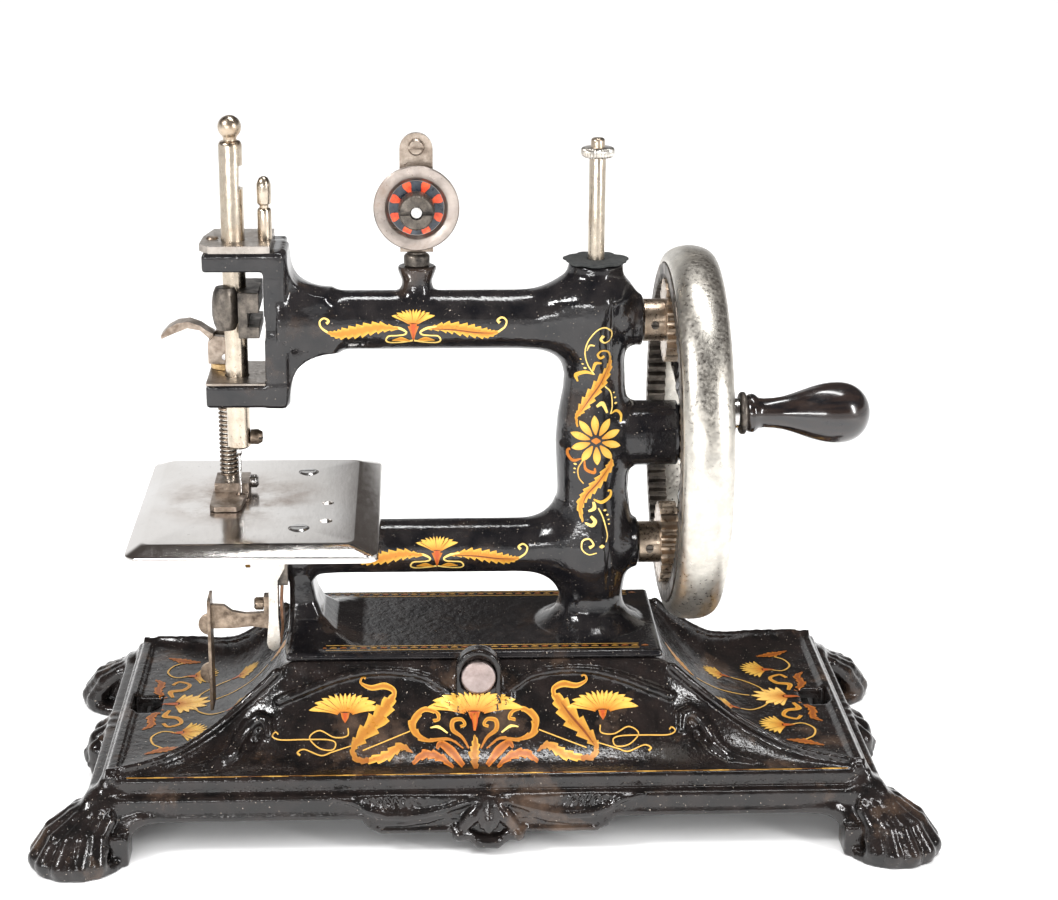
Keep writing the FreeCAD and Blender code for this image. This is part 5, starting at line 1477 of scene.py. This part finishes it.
def pillar_print(tree, x, z):
    """Ten-petalled flower with a leafy scroll above it and another below."""
    art = Print(tree, (x, -11.5, z), (1, 0, 0), (0, 0, 1), weight=0.78)
    art.ribbon([(-5.6, 3.9), (-5.9, 7), (-4.9, 8.6), (-2.4, 12.5), (1.1, 17.6), (3.6, 22.1), (4.1, 25.7)],
               [0.35, 0.6, 1.3, 2.3, 2.4, 1.5, 0.4], YELLOW, ORANGE, 12)
    art.ribbon([(-4.4, 9), (-1.8, 13), (1.4, 17.8), (3.6, 23)], [0.1, 0.28, 0.25, 0.05], BROWN)
    art.ribbon([(4.1, 25.5), (3.3, 27.7), (1.4, 28.4), (0.1, 27.2), (0.9, 25.9), (2.1, 26.5)],
               [0.4, 0.35, 0.35, 0.4, 0.5, 0.6], YELLOW, step=0.2)
    art.ribbon([(-0.7, 20.4), (-2.7, 23.6), (-3.7, 27.7), (-2.9, 31.7), (-0.4, 35.2), (2.1, 36.0),
                (4.1, 34.2), (3.9, 32), (2.1, 31), (0.8, 32.2), (1.6, 33.4)],
               [0.3, 0.25, 0.25, 0.25, 0.25, 0.28, 0.3, 0.3, 0.3, 0.5, 0.7], PALE, step=0.2)
    art.ribbon([(-3.2, 28.4), (-2.4, 30.2), (-0.9, 30.2)], [0.15, 0.4, 0.3], PALE)
    art.ribbon([(-1.2, 21.6), (-0.4, 24.1), (1.4, 24.1)], [0.4, 0.7, 0.3], YELLOW)
    art.ribbon([(-0.9, 20.6), (-3.4, 21.1), (-6, 19.8), (-5.5, 17.8)], [0.3, 0.7, 0.8, 0.3], YELLOW)
    art.ribbon([(2.6, 16.6), (4.4, 14.5), (4.9, 10.5), (4.4, 8)], [0.25, 0.25, 0.25, 0.25], PALE)
    art.ribbon([(0.1, 10.5), (1.9, 11.3), (3.4, 8.4)], [0.5, 0.9, 0.4], PALE)
    art.ribbon([(4.4, 8), (6.2, 8.7), (7.7, 7.3), (7.6, 5.2)], [0.2, 0.5, 0.5, 0.35], YELLOW)
    for u, v, r in ((-4.9, 25.4, 0.3), (-4.2, 23.8, 0.4), (-3.5, 22.4, 0.5), (5.4, 14.3, 0.3),
                    (5.8, 12.7, 0.4), (6.0, 11.0, 0.5), (-6.1, -7.9, 0.5), (-6.2, -9.4, 0.4),
                    (-6.3, -10.7, 0.3), (3.1, -22.6, 0.5), (3.9, -24.1, 0.4), (4.3, -25.6, 0.35),
                    (4.4, -27.0, 0.3), (2.2, -33.6, 0.8)):
        art.dot(u, v, r)
    art.ribbon([(-3.7, -6.2), (-5.2, -9.2), (-4.9, -12.2), (-3.5, -14)], [0.25, 0.25, 0.25, 0.25], THREAD)
    art.ribbon([(-3.4, -6.4), (-2.9, -9.2), (-0.4, -10.2), (-0.2, -8.7)], [0.3, 0.6, 0.7, 0.3], ORANGE)
    art.ribbon([(4.9, -5.9), (4.4, -8.4), (1.1, -13.2), (-2.4, -17.3), (-4.4, -21.3), (-3.7, -26.2)],
               [0.35, 1.6, 2.2, 2.1, 1.4, 0.3], YELLOW, ORANGE, 11)
    art.ribbon([(4.0, -9), (0.8, -13.6), (-2.4, -17.6), (-4.0, -22)], [0.1, 0.26, 0.25, 0.05], BROWN)
    art.ribbon([(-4.4, -5.9), (-6.8, -6.8), (-8.3, -5.2), (-8.3, -3.6), (-7.6, -3.3)],
               [0.3, 0.7, 0.6, 0.4, 0.5], ORANGE)
    art.ribbon([(-0.4, -19), (2.1, -20), (4.6, -18.5), (4.9, -16.7), (3.9, -16.4)], [0.3, 0.7, 0.6, 0.4, 0.4],
               YELLOW)
    art.ribbon([(-0.4, -19.8), (-0.2, -21.8), (-1.9, -22.8)], [0.5, 0.8, 0.4], PALE)
    art.ribbon([(-1.2, -24.3), (0.1, -25.9), (-0.9, -27.1), (-2.9, -26.4)], [0.5, 0.8, 0.7, 0.3], PALE)
    art.ribbon([(1.1, -21.8), (2.6, -25), (3.9, -30.2), (3.5, -32.4)], [0.28, 0.25, 0.25, 0.25], PALE)
    art.ribbon([(0.6, -35.5), (-1.9, -36.0), (-3.9, -34.4), (-3.7, -31.9), (-1.7, -31.2), (-0.4, -32.9),
                (-1.7, -33.9)], [0.2, 0.25, 0.28, 0.3, 0.3, 0.4, 0.6], PALE, step=0.2)
    for i in range(10):
        a = math.radians(94 + 36 * i)
        art.petal((1.9 * math.cos(a), 1.9 * math.sin(a)), (7.8 * math.cos(a), 7.8 * math.sin(a)), 1.15, 0.0,
                  YELLOW, (0.50, 0.20, 0.02))
    art.dot(0, 0, 1.35, ORANGE)
    art.finish("pillar_print")


def slope_print(tree, x):
    """Three lotus flowers among acanthus scrolls and thin curls on the front slope."""
    tilt = math.radians(17.6)
    art = Print(tree, (x, -34.3, 35.8), (1, 0, 0), (0, math.sin(tilt), math.cos(tilt)), weight=0.86)
    art.lotus((0, -0.7), 15.4, 7.2, 15, 84)
    art.ribbon([(0, -0.5), (0.2, -3.2), (0, -5.6)], [1.5, 0.9, 0.4], RED, ORANGE)
    art.ribbon([(0, -16.0), (-0.2, -12.5), (0.2, -9.5), (0, -6.8)], [0.9, 2.0, 1.6, 0.2], YELLOW, BROWN, 5,
               root=BROWN)
    for side in (-1, 1):
        art.lotus((side * 39.3, -0.6), 11.3, 6.5, 13, 82)
        art.ribbon(flip([(18.8, -11.6), (22.4, -9.9), (26.9, -12.4), (32.5, -13.6)], side),
                   [0.2, 1.5, 1.9, 1.0], YELLOW, RUST, 6, root=BROWN)
        art.ribbon(flip([(32.0, -13.6), (35.6, -13.2), (36.9, -10.4), (34.2, -6.9), (29.4, -2.0), (26.3, 2.5),
                         (24.2, 5.2)], side),
                   [1.0, 1.1, 1.0, 2.5, 3.5, 2.8, 0.8], YELLOW, RUST, 9, root=BROWN)
        art.ribbon(flip([(36.4, -10.2), (33.6, -6.3), (29.4, -1.4), (26.6, 2.4)], side),
                   [0.1, 0.4, 0.4, 0.05], BROWN)
        art.ribbon(flip([(24.4, 4.6), (24.6, 6.6), (27.4, 7.9), (31.4, 7.4), (34.5, 8.9), (34.0, 10.6),
                         (33.0, 10.2)], side), [0.7, 0.9, 1.2, 0.9, 0.4, 0.3, 0.4], YELLOW, RUST)
        art.ribbon(flip([(3.5, -10.6), (7.8, -7.9), (13.8, -8.2), (17.8, -6.3), (18.6, -2.5), (15.4, 0.6),
                         (11.8, 0.0), (10.8, -2.0), (12.6, -2.6)], side),
                   [0.3, 0.5, 0.7, 1.3, 1.6, 1.0, 0.7, 0.7, 0.6], YELLOW, RUST, 6, root=RUST)
        art.ribbon(flip([(1.8, -10.6), (3.8, -7.5), (6.6, -5.3), (6.5, -2.7), (4.0, -2.3), (2.9, -3.8),
                         (4.3, -4.4)], side), [0.3, 0.5, 0.8, 0.8, 0.6, 0.5, 0.5], YELLOW, RUST, root=RUST)
        art.ribbon(flip([(6.6, -15.6), (10.8, -12.8), (15.3, -12.1), (18.9, -14.4)], side),
                   [0.5, 1.4, 1.6, 0.6], ORANGE, BROWN, 5)
        art.ribbon(flip([(3.6, -15.2), (7.2, -11.3), (10.3, -9.2), (11.6, -10.6)], side),
                   [0.8, 1.6, 1.1, 0.4], ORANGE, BROWN)
        art.ribbon(flip([(19.6, -5.5), (26.8, -8.2), (33.9, -10.8)], side), [0.2, 0.2, 0.2], THREAD)
        art.ribbon(flip([(8.2, -6.2), (11.0, -4.4), (13.4, -4.6)], side), [0.25, 0.5, 0.2], PALE)
        art.ribbon(flip([(38.4, -4.4), (38.6, -6.6), (42.5, -7.0), (47.0, -5.0), (50, -7.0), (47, -10),
                         (43, -10.5), (42.2, -8.5), (45, -7.6), (52, -7.5), (59, -7.5), (61.3, -6.4),
                         (60.3, -5.3), (59.5, -6.0)], side), [0.22] * 14, THREAD, step=0.2)
        art.ribbon(flip([(37.2, -9.4), (40, -10.2), (43.4, -11.2), (46.5, -12), (51.5, -10.3), (53.5, -11.1),
                         (52.7, -11.9)], side), [0.18, 0.2, 0.22, 0.22, 0.22, 0.3, 0.35], THREAD, step=0.2)
    art.finish("slope_print")


def tray_print(tree, side):
    """Lotus flowers, a palmette and curls in an end tray; they open towards the bed."""
    art = Print(tree, (side * 101.5, 0, 30), (0, side, 0), (-side, 0, 0))
    art.lotus((0, 3.0), 7.5, 12.0, 9, 70, (0.85, 0.50, 0.12))
    for s in (-1, 1):
        art.lotus((s * 22.0, 7.0), 7.2, 8.6, 11, 66)
        art.lotus((s * 12.5, 22.5), 5.0, 7.0, 9, 62)
        art.ribbon([(s * 37.5, -2.5), (s * 34.5, 3.0), (s * 33.0, 8.5)], [0.2, 2.0, 0.3], ORANGE, BROWN, 6)
        art.ribbon([(s * 22, 6), (s * 21, 1.5), (s * 25, -1.5), (s * 30, -0.5), (s * 33, 2.5)], [0.3] * 5,
                   THREAD)
        art.ribbon([(s * 5.0, 2.0), (s * 9.5, 1.0), (s * 11.0, 5.0), (s * 15.0, 6.5), (s * 17.5, 3.0),
                    (s * 15.0, 1.0)], [0.5, 1.0, 0.8, 0.6, 0.5, 0.6], YELLOW, ORANGE)
        art.ribbon([(s * 4.5, 0.0), (s * 10.0, -3.2), (s * 16.0, -2.6), (s * 19.5, -5.0)],
                   [0.5, 1.5, 1.3, 0.3], ORANGE, BROWN, 6)
        art.ribbon([(s * 3.0, 9.0), (s * 8.0, 12.0), (s * 11.5, 16.0), (s * 12.5, 20.0)], [0.28] * 4, THREAD)
    art.ribbon([(-1.5, 34.0), (0.5, 38.5), (3.0, 43.0)], [0.3, 2.6, 0.4], YELLOW, ORANGE, 7)
    art.ribbon([(0, 15.5), (-1.0, 24.0), (-1.4, 33.0)], [0.28] * 3, THREAD)
    art.finish("tray_print_right" if side > 0 else "tray_print_left")


def line_prints(frame_tree, base_tree):
    """Gold pinstripes along the step and the dashed borders on the bed plate."""
    for sy in (-1, 1):
        art = Print(base_tree, (0, sy * (STEP_Y - 0.9), 30), (sy, 0, 0), (0, -1 if sy > 0 else 1, 0))
        art.into = Vector((0, 0, -1))
        for i in range(108):
            u = -STEP_X + 7 + i * 2.0
            worn = 0.5 + 0.5 * math.sin(i * 0.9) * math.sin(i * 0.23 + 0.6)
            tone = blend_colour(BROWN, THREAD, worn)
            art.ribbon([(u, 0), (u + 1.95, 0)], [0.08 + 0.16 * worn] * 2, tone, step=1.0)
        art.finish("step_line_front" if sy < 0 else "step_line_back")
    art = Print(frame_tree, (0, 0, BED_TOP + 4), (1, 0, 0), (0, 1, 0))
    art.into = Vector((0, 0, -1))
    for v in (-22.5, 22.5):
        for i in range(34):
            u = BED_LEFT + 7 + i * 3.1
            art.ribbon([(u, v), (u + 1.2, v + 0.35), (u + 2.2, v)], [0.15, 0.55, 0.12],
                       ORANGE if i % 2 else YELLOW, BROWN)
        art.ribbon([(BED_LEFT + 6, v - 1.5), (BED_RIGHT - 7, v - 1.5)], [0.16, 0.16], THREAD, step=1.5)
        art.ribbon([(BED_LEFT + 6, v + 1.6), (BED_RIGHT - 7, v + 1.6)], [0.16, 0.16], THREAD, step=1.5)
    art.finish("bed_border")


def prints():
    frame_tree, base_tree = casting_tree(frame_obj), casting_tree(base_obj)
    arm_print(frame_tree, -21.4, ARM_Z + 0.9, 9.0, "upper_arm_print")
    arm_print(frame_tree, -14.6, HOOK_Z + 0.2, 8.4, "lower_arm_print")
    pillar_print(frame_tree, PILLAR_X, 115.0)
    slope_print(base_tree, -3.7)
    tray_print(base_tree, -1)
    tray_print(base_tree, 1)
    line_prints(frame_tree, base_tree)


prints()


# ==== floor, light and camera =================================================
def floor_sheet():
    look = new_look("pale_floor")
    look.set("Base Color", look.ramp(look.noise(3, 3), [(0.3, (0.9, 0.9, 0.9)), (0.7, (0.94, 0.94, 0.94))]))
    look.set("Roughness", 0.75)
    size = 3.0
    mesh = bpy.data.meshes.new("floor")
    mesh.from_pydata([(-size, -size, 0), (size, -size, 0), (size, size, 0), (-size, size, 0)], [],
                     [(0, 1, 2, 3)])
    mesh.materials.append(look.owner)
    new_object("floor", mesh)


def area_light(name, place, target, size, power):
    data = bpy.data.lights.new(name, "AREA")
    data.shape = "RECTANGLE"
    data.size, data.size_y = size
    data.energy = power
    obj = new_object(name, data)
    obj.location = place
    obj.rotation_euler = (Vector(target) - Vector(place)).to_track_quat("-Z", "Y").to_euler()


def sun_light(name, direction, strength, spread):
    """Very soft distant light that leaves no highlight."""
    data = bpy.data.lights.new(name, "SUN")
    data.energy = strength
    data.angle = math.radians(spread)
    obj = new_object(name, data)
    obj.rotation_euler = Vector(direction).to_track_quat("-Z", "Y").to_euler()
    obj.visible_glossy = False


def surroundings():
    """White horizon, and a white card low behind the left half; dim above so that black japan stays deep."""
    world = bpy.data.worlds.new("studio")
    bpy.context.scene.world = world
    look = Look(world)
    split = look.nodes.new("ShaderNodeSeparateXYZ")
    look.feed(split.inputs[0], look.place("Generated"))
    spans = []
    for axis, low, high in (("Y", 0.60, 0.93), ("Z", 0.70, 0.35), ("X", 0.03, -0.08), ("Z", 0.24, 0.14)):
        reach = look.levels(split.outputs[axis], low, high, 0.0, 1.0)
        reach.node.interpolation_type = "SMOOTHSTEP"
        spans.append(reach)
    card = look.combine("MULTIPLY", look.combine("MULTIPLY", spans[0], spans[1]), spans[2])
    share = look.combine("MAXIMUM", card, spans[3])
    tint = look.ramp(share, [(0.0, (0.085, 0.075, 0.07)), (1.0, (1.0, 1.0, 1.0))])
    look.feed(look.nodes["Background"].inputs["Color"], tint)


def camera():
    """Same viewpoint and lens as the object was seen with."""
    yaw, pitch, roll = math.radians(2.901), math.radians(17.624), math.radians(0.4596)
    place = Vector((-20.12, -676.15, 323.60)) * MM
    forward = Vector((math.sin(yaw) * math.cos(pitch), math.cos(yaw) * math.cos(pitch), -math.sin(pitch)))
    right = Vector((math.cos(yaw), -math.sin(yaw), 0))
    up = right.cross(forward)
    side = math.cos(roll) * right + math.sin(roll) * up
    top = math.cos(roll) * up - math.sin(roll) * right
    data = bpy.data.cameras.new("camera")
    data.sensor_width = 36
    data.sensor_fit = "HORIZONTAL"
    data.lens = 77.89
    data.clip_end = 20
    obj = new_object("camera", data)
    basis = Matrix((side, top, -forward)).transposed().to_4x4()
    obj.matrix_world = Matrix.Translation(place) @ basis
    bpy.context.scene.camera = obj


floor_sheet()
surroundings()
sun_light("sky", (-0.1, 0.35, -1.0), 3.1, 75)
sun_light("low_fill", (0.1, 1.0, -0.30), 1.0, 60)
area_light("front", (-0.45, -1.0, 0.35), (0, 0, 0.05), (0.6, 0.08), 4)
area_light("key", (-0.75, -0.45, 0.85), (0, 0, 0.08), (0.22, 0.22), 8)
area_light("fill", (0.75, -0.65, 0.5), (0, 0, 0.08), (0.10, 0.45), 6)
area_light("top", (0.1, 0.10, 1.1), (0, 0, 0.05), (0.6, 0.14), 5)
camera()
bpy.context.scene.view_settings.view_transform = "Standard"
